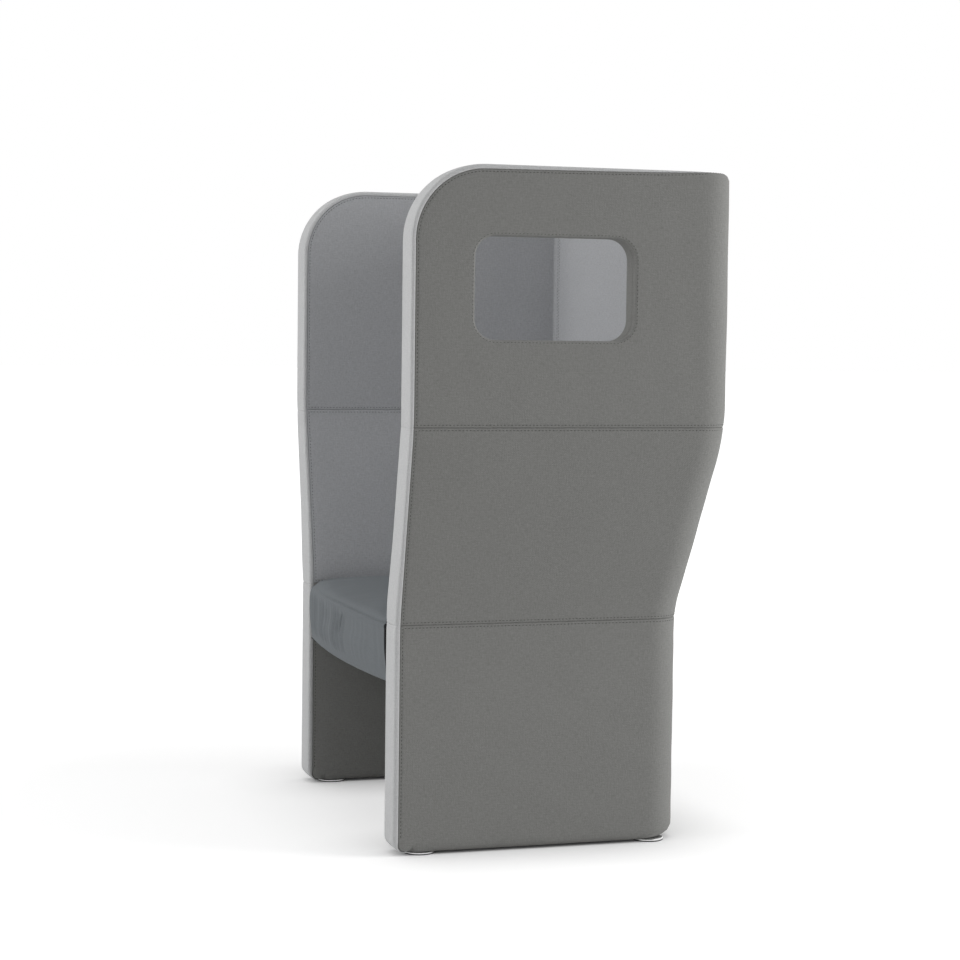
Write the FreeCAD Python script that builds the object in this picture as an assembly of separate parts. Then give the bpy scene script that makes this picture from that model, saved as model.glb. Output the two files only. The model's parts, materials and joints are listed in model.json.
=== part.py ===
import FreeCAD, Part
import math
import os

# An upholstered lounge chair with high sound-absorbing wings and back.
# X runs to the sitter's left, the chair faces -Y, and Z is up from the floor.
# All sizes are in millimetres.

V = FreeCAD.Vector

# Overall form
overall_height = 1294.0
lower_width = 784.0
upper_width = 950.0
lower_depth = 580.0
upper_depth = 644.0
wall = 64.0
floor_gap = 6.5

# Fold heights of the outer sides, the outer back and the inner faces
side_fold_low = 437.0
side_fold_high = 810.0
back_fold_low = 455.0
back_fold_high = 793.0
inner_fold_low = 462.0
inner_fold_high = 813.0

# Height of the lower inner seam, which the seat hides
inner_seam_low = 440.0

# Rounds of the shell
rear_corner_radius = 68.0
top_front_radius = 135.0
base_front_radius = 24.0
base_rear_radius = 38.0
top_rear_radius = 10.0

# Layers of a wall, from either face inwards
cover = 1.5
board = 18.0
seam_setback = 6.5
liner = 2.0

# Window in the left wing, placed from the wing's front edge and top
window_length = 313.0
window_height = 191.0
window_radius = 40.0
window_front_edge = 122.0
window_below_top = 131.0

# Seat
seat_proud = 27.0
seat_gap = 0.5
seat_bottom = 318.0
seat_seam_height = 441.0
seat_crown_height = 460.0
seat_edge_height = 453.0
seat_edge_radius = 22.0
seat_end_draw = 20.0
seat_side_draw = 3.0
seat_belly = 9.0
seat_board_thickness = 18.0
seat_board_front = 45.0
seat_board_side = 9.5
rail_width = 30.0
rail_height = 50.0
rail_front = 60.0

# The seat's front top edge, as shares of its radius: how far down and back it
# reaches, and where its middle lies
edge_drop = 0.6
edge_run = 0.9
edge_middle_run = 0.18
edge_middle_rise = 0.17

# Where the seat's profiles stand, as shares of the half width
seat_profile_places = (-1.0, -0.93, -0.6, 0.0, 0.6, 0.93, 1.0)

# Fixings that carry the seat
bolt_radius = 4.0
bolt_clearance = 0.3
bolt_head_radius = 6.5
bolt_head_height = 6.0
block_length = 90.0
block_height = 44.0
tee_flange_radius = 10.0
tee_flange = 2.0
tee_barrel_radius = 5.5
tee_recess_spare = 1.0
side_bolt_setback = 150.0
side_bolt_spacing = 250.0
rear_bolt_spacing = 360.0

# Levelling glides
glide_radius = 31.0
glide_inset = 58.0
pad_height = 2.2
pad_chamfer = 1.0
pad_chamfer_height = 0.8
glide_slip = 0.3
cap_height = 3.5
cap_top_radius = 25.0
cap_rim_height = 1.8
cap_shoulder = 1.5
cap_shoulder_height = 2.9
stem_radius = 4.0
stem_height = 30.0
stem_clearance = 0.3
pivot_radius = 6.0
pivot_depth = 1.2
insert_wall = 2.0
insert_length = 32.0

# Values worked out from the sizes above; far is how long the cutting blocks reach
window_sill = overall_height - window_below_top - window_height
y_front = seat_proud - (upper_depth + seat_proud) / 2
padding = (wall - board - 2 * cover) / 2
core = cover + padding
far = 400.0
pieces = {}


def along(z, z_low, z_high, low, high):
    """Value at height z of a wall that is upright, leans between two folds and is upright again."""
    share = min(max((z - z_low) / (z_high - z_low), 0.0), 1.0)
    return low + (high - low) * share


def outer_half(z):
    return along(z, side_fold_low, side_fold_high, lower_width / 2, upper_width / 2)


def outer_back(z):
    return y_front + along(z, back_fold_low, back_fold_high, lower_depth, upper_depth)


def inner_half(z):
    return along(z, inner_fold_low, inner_fold_high, lower_width / 2, upper_width / 2) - wall


def inner_back(z):
    return y_front + along(z, inner_fold_low, inner_fold_high, lower_depth, upper_depth) - wall


def levels(z_low, z_high):
    """Heights where a wall between z_low and z_high needs a section."""
    folds = {side_fold_low, side_fold_high, back_fold_low, back_fold_high, inner_fold_low, inner_fold_high}
    return [z_low] + sorted(f for f in folds if z_low < f < z_high) + [z_high]


def polygon(points):
    return Part.makePolygon([V(*p) for p in points] + [V(*points[0])])


def arc(start, middle, end):
    return Part.Arc(V(*start), V(*middle), V(*end)).toShape()


def line(start, end):
    return Part.LineSegment(V(*start), V(*end)).toShape()


def rectangle_at(z, half, y_low, y_high):
    return polygon([(-half, y_low, z), (half, y_low, z), (half, y_high, z), (-half, y_high, z)])


def stack(section, z_low, z_high):
    """Solid through a plan section taken at each fold between two heights."""
    return Part.makeLoft([section(z) for z in levels(z_low, z_high)], True, True)


def outer_section(z, inset):
    """Plan of the shell's outer face, set in by inset, with round rear corners."""
    half = outer_half(z) - inset
    back = outer_back(z) - inset
    front = y_front if inset == 0 else y_front - far
    radius = rear_corner_radius - inset
    bulge = radius * (1 - math.cos(math.pi / 4))
    left_start = (half, back - radius, z)
    left_end = (half - radius, back, z)
    right_start = (-half + radius, back, z)
    right_end = (-half, back - radius, z)
    return Part.Wire([
        line((-half, front, z), (half, front, z)),
        line((half, front, z), left_start),
        arc(left_start, (half - bulge, back - bulge, z), left_end),
        line(left_end, right_start),
        arc(right_start, (-half + bulge, back - bulge, z), right_end),
        line(right_end, (-half, front, z)),
    ])


def outer_body(inset, z_low, z_high):
    return stack(lambda z: outer_section(z, inset), z_low, z_high)


def sitter_space(inset, z_low, z_high):
    """The space between the wings, let into the walls by inset."""
    return stack(lambda z: rectangle_at(z, inner_half(z) + inset, y_front - far, inner_back(z) + inset),
                 z_low, z_high)


def between_wings(inset, z_low, z_high):
    return stack(lambda z: rectangle_at(z, inner_half(z) + inset, -2 * far, 2 * far), z_low, z_high)


def ahead_of_corner(z_low, z_high):
    """All that lies in front of the start of the rear corner rounds."""
    return stack(lambda z: rectangle_at(z, 2 * far, -2 * far, outer_back(z) - rear_corner_radius),
                 z_low, z_high)


def between_corners(z_low, z_high):
    return stack(lambda z: rectangle_at(z, outer_half(z) - rear_corner_radius, -2 * far, 2 * far),
                 z_low, z_high)


def side_profile(inset, base=floor_gap):
    """Side view of the wings as a block: the front and top are set in by inset."""
    front = y_front + inset
    top = overall_height - inset
    low_back = y_front + lower_depth
    high_back = y_front + upper_depth
    big = top_front_radius - inset
    small = base_front_radius - inset
    last = top_rear_radius - inset
    s = 1 - math.cos(math.pi / 4)
    edges = [
        line((0, front, base + small), (0, front, top - big)),
        arc((0, front, top - big), (0, front + big * s, top - big * s), (0, front + big, top)),
        line((0, front + big, top), (0, high_back - top_rear_radius, top)),
        arc((0, high_back - top_rear_radius, top),
            (0, high_back - top_rear_radius + last * (1 - s), top - last * s),
            (0, high_back - top_rear_radius + last, top - last)),
        line((0, high_back - top_rear_radius + last, top - last), (0, high_back + far, top - last)),
        line((0, high_back + far, top - last), (0, high_back + far, base + base_rear_radius)),
        line((0, high_back + far, base + base_rear_radius), (0, low_back, base + base_rear_radius)),
        arc((0, low_back, base + base_rear_radius),
            (0, low_back - base_rear_radius * s, base + base_rear_radius * s),
            (0, low_back - base_rear_radius, base)),
        line((0, low_back - base_rear_radius, base), (0, front + small, base)),
        arc((0, front + small, base), (0, front + small * s, base + small * s), (0, front, base + small)),
    ]
    face = Part.Face(Part.Wire(edges))
    face.translate(V(-2 * far, 0, 0))
    return face.extrude(V(4 * far, 0, 0))


def half_space(side):
    """Everything on the left (1) or the right (-1) of the middle plane."""
    corner = V(0 if side > 0 else -2 * far, -2 * far, -far)
    return Part.makeBox(2 * far, 4 * far, overall_height + 2 * far, corner)


def window_block(grow):
    """The window opening as a rounded block through the left wing, grown by grow."""
    y_low = y_front + window_front_edge - grow
    y_high = y_low + window_length + 2 * grow
    z_low = window_sill - grow
    z_high = window_sill + window_height + grow
    radius = window_radius + grow
    block = Part.makeBox(far, y_high - y_low, z_high - z_low, V(inner_half(window_sill) - wall, y_low, z_low))
    edges = [e for e in block.Edges if abs(e.tangentAt(e.FirstParameter).x) > 0.99]
    return block.makeFillet(radius, edges)


def only_solids(shape):
    found = [s for s in shape.Solids if s.Volume > 1.0]
    return found[0] if len(found) == 1 else Part.makeCompound(found)


def add(name, shape):
    pieces[name] = only_solids(shape.removeSplitter() if len(shape.Solids) == 1 else shape)


tier_outer = {
    "lower": (floor_gap, side_fold_low),
    "middle": (side_fold_low, side_fold_high),
    "upper": (side_fold_high, overall_height),
}
tier_inner = {
    "lower": (floor_gap, inner_seam_low),
    "middle": (inner_seam_low, inner_fold_high),
    "upper": (inner_fold_high, overall_height),
}
sides = {"left": 1, "right": -1}


def raised(tier):
    """Heights of a board, pad or band: the lowest tier starts on the base liner."""
    z_low, z_high = tier
    return (floor_gap + liner if z_low == floor_gap else z_low, z_high)


def make_boards(shape):
    """Plywood boards of the wings and back, and the posts in the rear corners."""
    posts = {"left": [], "right": []}
    for name, tier in tier_outer.items():
        z_low, z_high = raised(tier)
        ring = outer_body(core, z_low, z_high).cut(sitter_space(core, z_low, z_high)).common(shape)
        front_part = ring.common(ahead_of_corner(z_low, z_high))
        rear_part = ring.cut(ahead_of_corner(z_low, z_high))
        add(f"back_board_{name}", rear_part.common(between_corners(z_low, z_high)))
        corners = rear_part.cut(between_corners(z_low, z_high))
        for side, sign in sides.items():
            add(f"{side}_board_{name}", front_part.common(half_space(sign)))
            posts[side].append(corners.common(half_space(sign)))
    for side, parts in posts.items():
        add(f"{side}_corner_post", parts[0].multiFuse(parts[1:]))


def make_outer_padding(shape):
    """Foam between each board and the outer cover; the back's slab turns both rear corners."""
    for name, tier in tier_outer.items():
        z_low, z_high = raised(tier)
        layer = outer_body(cover, z_low, z_high).cut(outer_body(core, z_low, z_high)).common(shape)
        add(f"back_outer_padding_{name}", layer.cut(ahead_of_corner(z_low, z_high)))
        wings = layer.common(ahead_of_corner(z_low, z_high))
        for side, sign in sides.items():
            add(f"{side}_outer_padding_{name}", wings.common(half_space(sign)))


def make_inner_padding(shape):
    """Foam between each board and the inner cover; the back's slab lies between the wings'."""
    for name, tier in tier_inner.items():
        z_low, z_high = raised(tier)
        layer = sitter_space(core, z_low, z_high).cut(sitter_space(cover, z_low, z_high)).common(shape)
        middle = between_wings(cover, z_low, z_high)
        add(f"back_inner_padding_{name}", layer.common(middle))
        wings = layer.cut(middle)
        for side, sign in sides.items():
            add(f"{side}_inner_padding_{name}", wings.common(half_space(sign)))


def make_covers(shape):
    """Sewn fabric of each tier, outside and inside."""
    for name, (z_low, z_high) in tier_outer.items():
        skin = outer_body(0, z_low, z_high).cut(outer_body(cover, z_low, z_high))
        add(f"outer_cover_{name}", skin.common(shape))
    for name, (z_low, z_high) in tier_inner.items():
        skin = sitter_space(cover, z_low, z_high).cut(sitter_space(0, z_low, z_high))
        add(f"inner_cover_{name}", skin.common(shape))


def make_edge_bands(shape):
    """Padded bands on the front edges; the upper ones run back over the top and meet behind the head."""
    whole = side_profile(0)
    for name, tier in tier_outer.items():
        z_low, z_high = raised(tier)
        ring = outer_body(0, z_low, z_high).cut(sitter_space(0, z_low, z_high))
        rim = ring.common(whole).cut(shape)
        forward = Part.makeBox(4 * far, far, overall_height, V(-2 * far, y_front - far / 2, 0))
        if name != "upper":
            rim = rim.common(forward)
        for side, sign in sides.items():
            add(f"{side}_edge_band_{name}", rim.common(half_space(sign)))


def make_base_liner(shape):
    """Dark strip that closes the foot of the walls, with a hole for each glide stem."""
    z_high = floor_gap + liner
    ring = outer_body(cover, floor_gap, z_high).cut(sitter_space(cover, floor_gap, z_high)).common(shape)
    for x, y in glide_places():
        ring = ring.cut(Part.makeCylinder(stem_radius + insert_wall, liner, V(x, y, floor_gap)))
    add("base_liner", ring)


def cut_window():
    """Cuts the window through every layer of the left wing and lines the hole."""
    hole = window_block(cover)
    for name in ("left_board_upper", "left_outer_padding_upper", "left_inner_padding_upper",
                 "outer_cover_upper", "inner_cover_upper"):
        pieces[name] = only_solids(pieces[name].cut(hole))
    sleeve = hole.cut(window_block(0))
    z_high = window_sill + window_height
    wall_block = Part.makeBox(wall, 2 * far, far, V(inner_half(z_high), -far, window_sill - far / 4))
    add("window_lining", sleeve.common(wall_block))


def seat_front(x, inset):
    """How far forward the seat's front face reaches at x."""
    reach = inner_half(seat_bottom) - seat_gap
    bow = 1 - (x / reach) ** 2
    return y_front - seat_proud + seat_end_draw * (1 - bow) + inset


def seat_profile(x, share, inset):
    """Side view of the seat at x; share is 1 over the middle and 0 at the two ends."""
    base = seat_bottom + liner
    front = seat_front(x, inset)
    back = inner_back(seat_bottom) - seat_gap - inset
    seam = seat_seam_height - inset - seat_side_draw * (1 - share)
    crown = seat_edge_height + (seat_crown_height - seat_edge_height) * share - inset
    round_off = seat_edge_radius - inset
    low = (x, front + seat_belly, base)
    middle = (x, front, (base + seam) / 2)
    high = (x, front + seat_belly, seam - round_off * edge_drop)
    turn = (x, front + seat_belly + round_off * edge_middle_run, seam - round_off * edge_middle_rise)
    over = (x, front + round_off * edge_run, seam)
    crest = (x, (front + back) / 2, crown)
    rear = (x, back, seat_edge_height - inset)
    return Part.Wire([
        arc(low, middle, high),
        arc(high, turn, over),
        arc(over, crest, rear),
        line(rear, (x, back, base)),
        line((x, back, base), low),
    ])


def seat_form(inset):
    """The seat with its crown and bow front, through profiles from one wing to the other."""
    reach = inner_half(seat_bottom) - seat_gap - inset
    sections = []
    for place in seat_profile_places:
        share = 1 - place ** 4
        sections.append(seat_profile(place * reach, share, inset))
    return Part.makeLoft(sections, True, True)


def seat_board_outline():
    """Front, back and half width of the seat board."""
    front = y_front - seat_proud + seat_board_front
    back = inner_back(seat_bottom) - seat_gap - seat_board_side
    half = inner_half(seat_bottom) - seat_gap - seat_board_side
    return front, back, half


def seat_rail_boxes():
    """The three rails on the seat board, as boxes: left, right and rear."""
    front, back, half = seat_board_outline()
    low = seat_bottom + liner + seat_board_thickness
    length = back - front - rail_front
    left = Part.makeBox(rail_width, length, rail_height, V(half - rail_width, front + rail_front, low))
    right = Part.makeBox(rail_width, length, rail_height, V(-half, front + rail_front, low))
    rear = Part.makeBox(2 * (half - rail_width), rail_width, rail_height,
                        V(-half + rail_width, back - rail_width, low))
    return [left, right, rear]


def seat_bolt_places():
    """Start point and direction of each bolt that holds the seat: on a rail's inner face, outwards."""
    front, back, half = seat_board_outline()
    z = seat_bottom + liner + seat_board_thickness + rail_height / 2
    places = []
    for sign in sides.values():
        for step in (0, 1):
            y = y_front + side_bolt_setback + step * side_bolt_spacing
            places.append((V(sign * (half - rail_width), y, z), V(sign, 0, 0)))
    for sign in sides.values():
        places.append((V(sign * rear_bolt_spacing / 2, back - rail_width, z), V(0, 1, 0)))
    return places


def block_box(start, way, grow):
    """Spacer block from a rail's outer face to the board behind the inner padding."""
    reach = seat_board_side + seat_gap + core
    foot = start + way * rail_width
    across = V(abs(way.y), abs(way.x), 0)
    low = foot - across * (block_length / 2 + grow) - V(0, 0, block_height / 2 + grow)
    size = V(abs(way.x) * reach, abs(way.y) * reach, 0)
    if way.x < 0:
        low = low - V(reach, 0, 0)
    size = size + across * (block_length + 2 * grow) + V(0, 0, block_height + 2 * grow)
    return Part.makeBox(size.x, size.y, size.z, low)


def rod(start, way, radius, length, offset=0.0):
    return Part.makeCylinder(radius, length, start + way * offset, way)


def make_seat():
    """Seat board, rails, foam, cover and under liner."""
    base = seat_bottom + liner
    front, back, half = seat_board_outline()
    deck = Part.makeBox(2 * half, back - front, seat_board_thickness, V(-half, front, base))
    add("seat_board", deck)
    rails = seat_rail_boxes()
    foam = seat_form(cover).cut(deck).cut(rails[0].multiFuse(rails[1:]))
    cover_shell = seat_form(0).cut(seat_form(cover))
    holes = []
    blocks = []
    for start, way in seat_bolt_places():
        block = block_box(start, way, 0)
        blocks.append(block)
        pocket = rod(start, way, bolt_head_radius + bolt_clearance, bolt_head_height + bolt_clearance,
                     -bolt_head_height - bolt_clearance)
        foam = foam.cut(block).cut(pocket)
        cover_shell = cover_shell.cut(block)
        holes.append(rod(start, way, bolt_radius + bolt_clearance, far, -bolt_head_height))
    drill = holes[0].multiFuse(holes[1:])
    add("seat_rails", Part.makeCompound([r.cut(drill) for r in rails]))
    add("seat_mount_blocks", Part.makeCompound([b.cut(drill) for b in blocks]))
    add("seat_foam", foam)
    add("seat_cover", cover_shell)
    edge = seat_profile(0, 1, cover).BoundBox.YMin + seat_end_draw + seat_belly
    reach = inner_half(seat_bottom) - seat_gap
    rear = inner_back(seat_bottom) - seat_gap
    add("seat_liner", Part.makeBox(2 * reach, rear - edge, liner, V(-reach, edge, seat_bottom)))
    cut_walls_for_blocks()


def cut_walls_for_blocks():
    """Lets the spacer blocks, bolts and tee nuts into the walls, and makes the bolts and nuts."""
    bolts = []
    nuts = []
    board_face = rail_width + seat_board_side + seat_gap + core
    shank = board_face + board + tee_flange
    for start, way in seat_bolt_places():
        wall_name = "back" if way.y > 0.5 else ("left" if way.x > 0 else "right")
        block = block_box(start, way, 0)
        for name in (f"{wall_name}_inner_padding_lower", "inner_cover_lower"):
            pieces[name] = only_solids(pieces[name].cut(block))
        barrel = rod(start, way, tee_barrel_radius, board, board_face)
        board_name = f"{wall_name}_board_lower"
        pieces[board_name] = only_solids(pieces[board_name].cut(barrel))
        recess_depth = tee_flange + tee_recess_spare
        recess = rod(start, way, tee_flange_radius + bolt_clearance, recess_depth, board_face + board)
        pad_name = f"{wall_name}_outer_padding_lower"
        pieces[pad_name] = only_solids(pieces[pad_name].cut(recess))
        head = rod(start, way, bolt_head_radius, bolt_head_height, -bolt_head_height)
        bolts.append(head.fuse(rod(start, way, bolt_radius, shank)))
        flange = rod(start, way, tee_flange_radius, tee_flange, board_face + board)
        nuts.append(barrel.fuse(flange).cut(rod(start, way, bolt_radius, far, board_face - tee_flange)))
    add("seat_bolts", Part.makeCompound(bolts))
    add("tee_nuts", Part.makeCompound(nuts))


def glide_places():
    """Centres of the four glides, under the middle of the boards."""
    x = lower_width / 2 - wall / 2
    front = y_front + glide_inset
    back = y_front + lower_depth - glide_inset
    return [(x, front), (-x, front), (x, back), (-x, back)]


def turned(points):
    """Solid of revolution about Z from an outline of radius and height."""
    face = Part.Face(polygon([(r, 0, z) for r, z in points]))
    return face.revolve(V(0, 0, 0), V(0, 0, 1), 360)


def make_glides():
    """Foot pads, chrome caps with their threaded stems, and the inserts that they screw into."""
    names = ("front_left", "front_right", "rear_left", "rear_right")
    pad = turned([(0, 0), (glide_radius - pad_chamfer, 0), (glide_radius, pad_chamfer_height),
                  (glide_radius, pad_height),
                  (pivot_radius + glide_slip, pad_height),
                  (pivot_radius + glide_slip, pad_height - pivot_depth), (0, pad_height - pivot_depth)])
    low = pad_height + glide_slip
    high = low + cap_height
    cap = turned([(0, low - pivot_depth), (pivot_radius, low - pivot_depth), (pivot_radius, low),
                  (glide_radius, low), (glide_radius, low + cap_rim_height),
                  (glide_radius - cap_shoulder, low + cap_shoulder_height),
                  (cap_top_radius, high), (0, high)])
    stem_top = floor_gap + stem_height
    stem = Part.makeCylinder(stem_radius, stem_top - high, V(0, 0, high))
    cap_and_stem = cap.fuse(stem)
    foot = V(0, 0, floor_gap + liner)
    ring = Part.makeCylinder(stem_radius + insert_wall, insert_length, foot)
    ring = ring.cut(Part.makeCylinder(stem_radius + stem_clearance, insert_length, foot))
    inserts = []
    for name, (x, y) in zip(names, glide_places()):
        place = V(x, y, 0)
        add(f"glide_pad_{name}", pad.translated(place))
        add(f"glide_stem_{name}", cap_and_stem.translated(place))
        inserts.append(ring.translated(place))
        end, side = name.split("_")
        carrier = f"{side}_board_lower" if end == "front" else f"{side}_corner_post"
        hole = Part.makeCylinder(stem_radius + insert_wall, insert_length, V(x, y, floor_gap + liner))
        pieces[carrier] = only_solids(pieces[carrier].cut(hole))
    add("glide_inserts", Part.makeCompound(inserts))


def main():
    shape = side_profile(seam_setback)
    make_boards(shape)
    make_outer_padding(shape)
    make_inner_padding(shape)
    make_covers(shape)
    make_edge_bands(shape)
    make_base_liner(shape)
    cut_window()
    make_seat()
    make_glides()
    os.makedirs("parts", exist_ok=True)
    for name, shape in pieces.items():
        shape.exportStep(f"parts/{name}.step")
    print(len(pieces), "pieces")


main()
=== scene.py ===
import bpy
import json
import math
import numpy as np
from mathutils import Matrix, Vector
from mathutils.geometry import delaunay_2d_cdt


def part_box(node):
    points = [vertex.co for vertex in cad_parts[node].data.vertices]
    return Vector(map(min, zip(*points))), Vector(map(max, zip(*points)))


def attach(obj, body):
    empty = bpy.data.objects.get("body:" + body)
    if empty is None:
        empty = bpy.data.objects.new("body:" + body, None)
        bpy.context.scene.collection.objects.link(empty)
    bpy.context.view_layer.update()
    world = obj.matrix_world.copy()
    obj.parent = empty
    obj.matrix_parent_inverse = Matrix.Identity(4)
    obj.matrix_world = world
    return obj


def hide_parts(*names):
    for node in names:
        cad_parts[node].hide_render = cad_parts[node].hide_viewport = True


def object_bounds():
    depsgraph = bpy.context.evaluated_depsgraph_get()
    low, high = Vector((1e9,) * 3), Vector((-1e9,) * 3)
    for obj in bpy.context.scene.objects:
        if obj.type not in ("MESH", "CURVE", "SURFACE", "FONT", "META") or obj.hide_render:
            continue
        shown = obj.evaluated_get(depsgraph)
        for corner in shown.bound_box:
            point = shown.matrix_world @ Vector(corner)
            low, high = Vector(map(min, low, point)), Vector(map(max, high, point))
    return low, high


# High back lounge chair with padded, folded walls. Metres, +Z up, it faces -Y, +X is the sitter's left.

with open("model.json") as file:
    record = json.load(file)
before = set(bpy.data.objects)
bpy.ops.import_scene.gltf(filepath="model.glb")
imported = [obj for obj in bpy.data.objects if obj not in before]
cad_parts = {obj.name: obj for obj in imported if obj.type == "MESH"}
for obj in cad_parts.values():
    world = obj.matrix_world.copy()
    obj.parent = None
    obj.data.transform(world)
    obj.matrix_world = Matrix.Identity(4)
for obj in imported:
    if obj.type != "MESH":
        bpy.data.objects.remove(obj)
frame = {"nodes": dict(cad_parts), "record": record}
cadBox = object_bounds()
print("frame loaded")

tiers = ("lower", "middle", "upper")
sides = {"left": 1.0, "right": -1.0}
coverCloth = 0.0015  # thickness of the sewn cloth in the frame

shell = {
    "frontY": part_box("left_edge_band_middle")[0].y,
    "halfLow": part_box("outer_cover_lower")[1].x,
    "halfHigh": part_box("outer_cover_upper")[1].x,
    "backLow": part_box("outer_cover_lower")[1].y,
    "backHigh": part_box("outer_cover_upper")[1].y,
    "baseZ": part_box("outer_cover_lower")[0].z,
    "topZ": cadBox[1].z - 0.0012,
    "outerFolds": (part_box("outer_cover_middle")[0].z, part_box("outer_cover_middle")[1].z),
    "innerFolds": (0.462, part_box("inner_cover_middle")[1].z),
    "backFolds": (0.455, 0.793),
    "softSide": (0.042, 0.040),  # how far each fold is rounded, up and down
    "softBack": (0.030, 0.062),
    "softInner": (0.034, 0.030),
    "cornerRadius": 0.068,
    "innerCorner": 0.004,
    "topFront": 0.141,
    "baseFront": 0.024,
    "setback": 0.0085,  # how far behind the edge the band's seams run
    "footWing": 0.004,  # round of the walls' lower edge
    "footBack": 0.024,
    "headBack": 0.013,  # round of the upper edge at the rear, where the cover runs over it
    "headLeast": 0.002,  # and at the front bend
    "headClimb": 0.4,  # how fast the cover climbs towards the rear
    "hem": 0.010,
}
shell["wall"] = shell["halfHigh"] - (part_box("inner_cover_upper")[1].x - coverCloth)

seam = {
    "depth": 0.0020,  # the cloth turns in at a seam
    "shoulder": 0.0010,
    "crown": 0.0008,  # and the padding draws in beside it
    "crownReach": 0.020,
    "row": 0.0050,  # the topstitch beside the seam
    "rowDip": 0.0005,
    "rowWidth": 0.0013,
    "topShare": 0.3,  # part of all this that is left on the rolled upper edge
}
ringSteps = (0.0, 0.0004, 0.0009, 0.0016, 0.0026, 0.0038, 0.0050, 0.0062, 0.0076, 0.0098, 0.0130)

cloth = {
    "gridStep": 0.011,
    "edgeStep": 0.008,
    "openingStep": 0.003,
    "footStep": 0.002,
    "sleeveStep": 0.006,
    "thickness": 0.0020,
    "wave": 0.00035,
    "waveLengths": (0.31, 0.19, 0.12, 0.075),
    "waveCalm": (0.010, 0.030),  # the waves start this far from a seam and grow over this length
}

stitch = {"pitch": 0.0070, "length": 0.0040, "thread": 0.00078}


# Shared shader groups

def newGroup(name, inputs, outputs):
    group = bpy.data.node_groups.new(name, "ShaderNodeTree")
    for label, kind, value in inputs:
        socket = group.interface.new_socket(name=label, in_out="INPUT", socket_type=kind)
        if value is not None:
            socket.default_value = value
    for label, kind in outputs:
        group.interface.new_socket(name=label, in_out="OUTPUT", socket_type=kind)
    return group, group.nodes.new("NodeGroupInput"), group.nodes.new("NodeGroupOutput")


# Links a socket to another one, or sets a plain value on it
def feed(tree, socket, value):
    if hasattr(value, "node"):
        tree.links.new(value, socket)
    else:
        socket.default_value = value


# A new node; an input is a plain value or a socket to link, and the settings are its properties
def addNode(tree, kind, inputs, **settings):
    node = tree.nodes.new(kind)
    for label, value in settings.items():
        setattr(node, label, value)
    for socket, value in inputs.items():
        feed(tree, node.inputs[socket], value)
    return node


def mathNode(tree, operation, first, second=0.5, clamp=False):
    node = addNode(tree, "ShaderNodeMath", {0: first, 1: second}, operation=operation, use_clamp=clamp)
    return node.outputs[0]


def mapRange(tree, value, fromRange, toRange=(0.0, 1.0)):
    labels = ("Value", "From Min", "From Max", "To Min", "To Max")
    return addNode(tree, "ShaderNodeMapRange", dict(zip(labels, (value, *fromRange, *toRange)))).outputs[0]


def mixColour(tree, factor, first, second, blend="MIX"):
    inputs = {0: factor, 6: first, 7: second}
    return addNode(tree, "ShaderNodeMix", inputs, data_type="RGBA", blend_type=blend).outputs[2]


# A colour made lighter and darker by a tone around 1
def toned(tree, colour, tone):
    grey = addNode(tree, "ShaderNodeCombineColor", {0: tone, 1: tone, 2: tone})
    return mixColour(tree, 1.0, (*colour, 1.0), grey.outputs[0], "MULTIPLY")


def noiseNode(tree, vector, scale, detail=2.0, stretch=None):
    if stretch is not None:
        vector = addNode(tree, "ShaderNodeMapping", {"Scale": stretch, "Vector": vector}).outputs[0]
    inputs = {"Vector": vector, "Scale": scale, "Detail": detail}
    return addNode(tree, "ShaderNodeTexNoise", inputs).outputs[0]


# Wool cloth: crossing yarns, a felted nap over them and slow changes of tone
def makeWoolGroup():
    group, source, sink = newGroup("woolCloth", [
        ("Vector", "NodeSocketVector", None),
        ("Yarns per metre", "NodeSocketFloat", 620.0),
        ("Yarn contrast", "NodeSocketFloat", 0.10),
        ("Nap contrast", "NodeSocketFloat", 0.12),
        ("Slow contrast", "NodeSocketFloat", 0.04),
    ], [("Tone", "NodeSocketFloat"), ("Height", "NodeSocketFloat")])
    given = source.outputs
    where = given["Vector"]

    def combine(operation, *values):
        return mathNode(group, operation, *values)

    turn = combine("MULTIPLY", given["Yarns per metre"], math.pi)
    across, along, _ = addNode(group, "ShaderNodeSeparateXYZ", {0: where}).outputs
    weft = combine("SINE", combine("MULTIPLY", across, turn))
    warp = combine("SINE", combine("MULTIPLY", along, turn))
    weave = combine("MULTIPLY", weft, warp)
    streaks = [noiseNode(group, where, 1.0, 3.0, (a, b, a)) for a, b in ((420.0, 90.0), (90.0, 420.0))]
    streak = combine("SUBTRACT", combine("ADD", *streaks), 1.0)
    nap = noiseNode(group, where, 300.0, 4.0)
    slow = noiseNode(group, where, 9.0, 2.0)
    tone = combine("MULTIPLY", weave, combine("MULTIPLY", given["Yarn contrast"], 0.5))
    for value, contrast in ((streak, "Nap contrast"), (combine("SUBTRACT", nap, 0.5), "Nap contrast"),
                            (combine("SUBTRACT", slow, 0.5), "Slow contrast")):
        tone = combine("ADD", tone, combine("MULTIPLY", value, given[contrast]))
    group.links.new(combine("ADD", tone, 1.0), sink.inputs["Tone"])
    height = combine("ADD", combine("MULTIPLY", weave, 0.35), combine("ADD", streak, nap))
    group.links.new(height, sink.inputs["Height"])
    return group


# Rubbed edges: a mask that is high where a surface turns sharply
def makeWearGroup():
    group, source, sink = newGroup("edgeWear", [
        ("Low", "NodeSocketFloat", 0.50),
        ("High", "NodeSocketFloat", 0.62),
    ], [("Mask", "NodeSocketFloat")])
    geometry = group.nodes.new("ShaderNodeNewGeometry")
    mask = mapRange(group, geometry.outputs["Pointiness"], (source.outputs["Low"], source.outputs["High"]))
    group.links.new(mask, sink.inputs["Mask"])
    return group


woolGroup = makeWoolGroup()
wearGroup = makeWearGroup()


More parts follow.
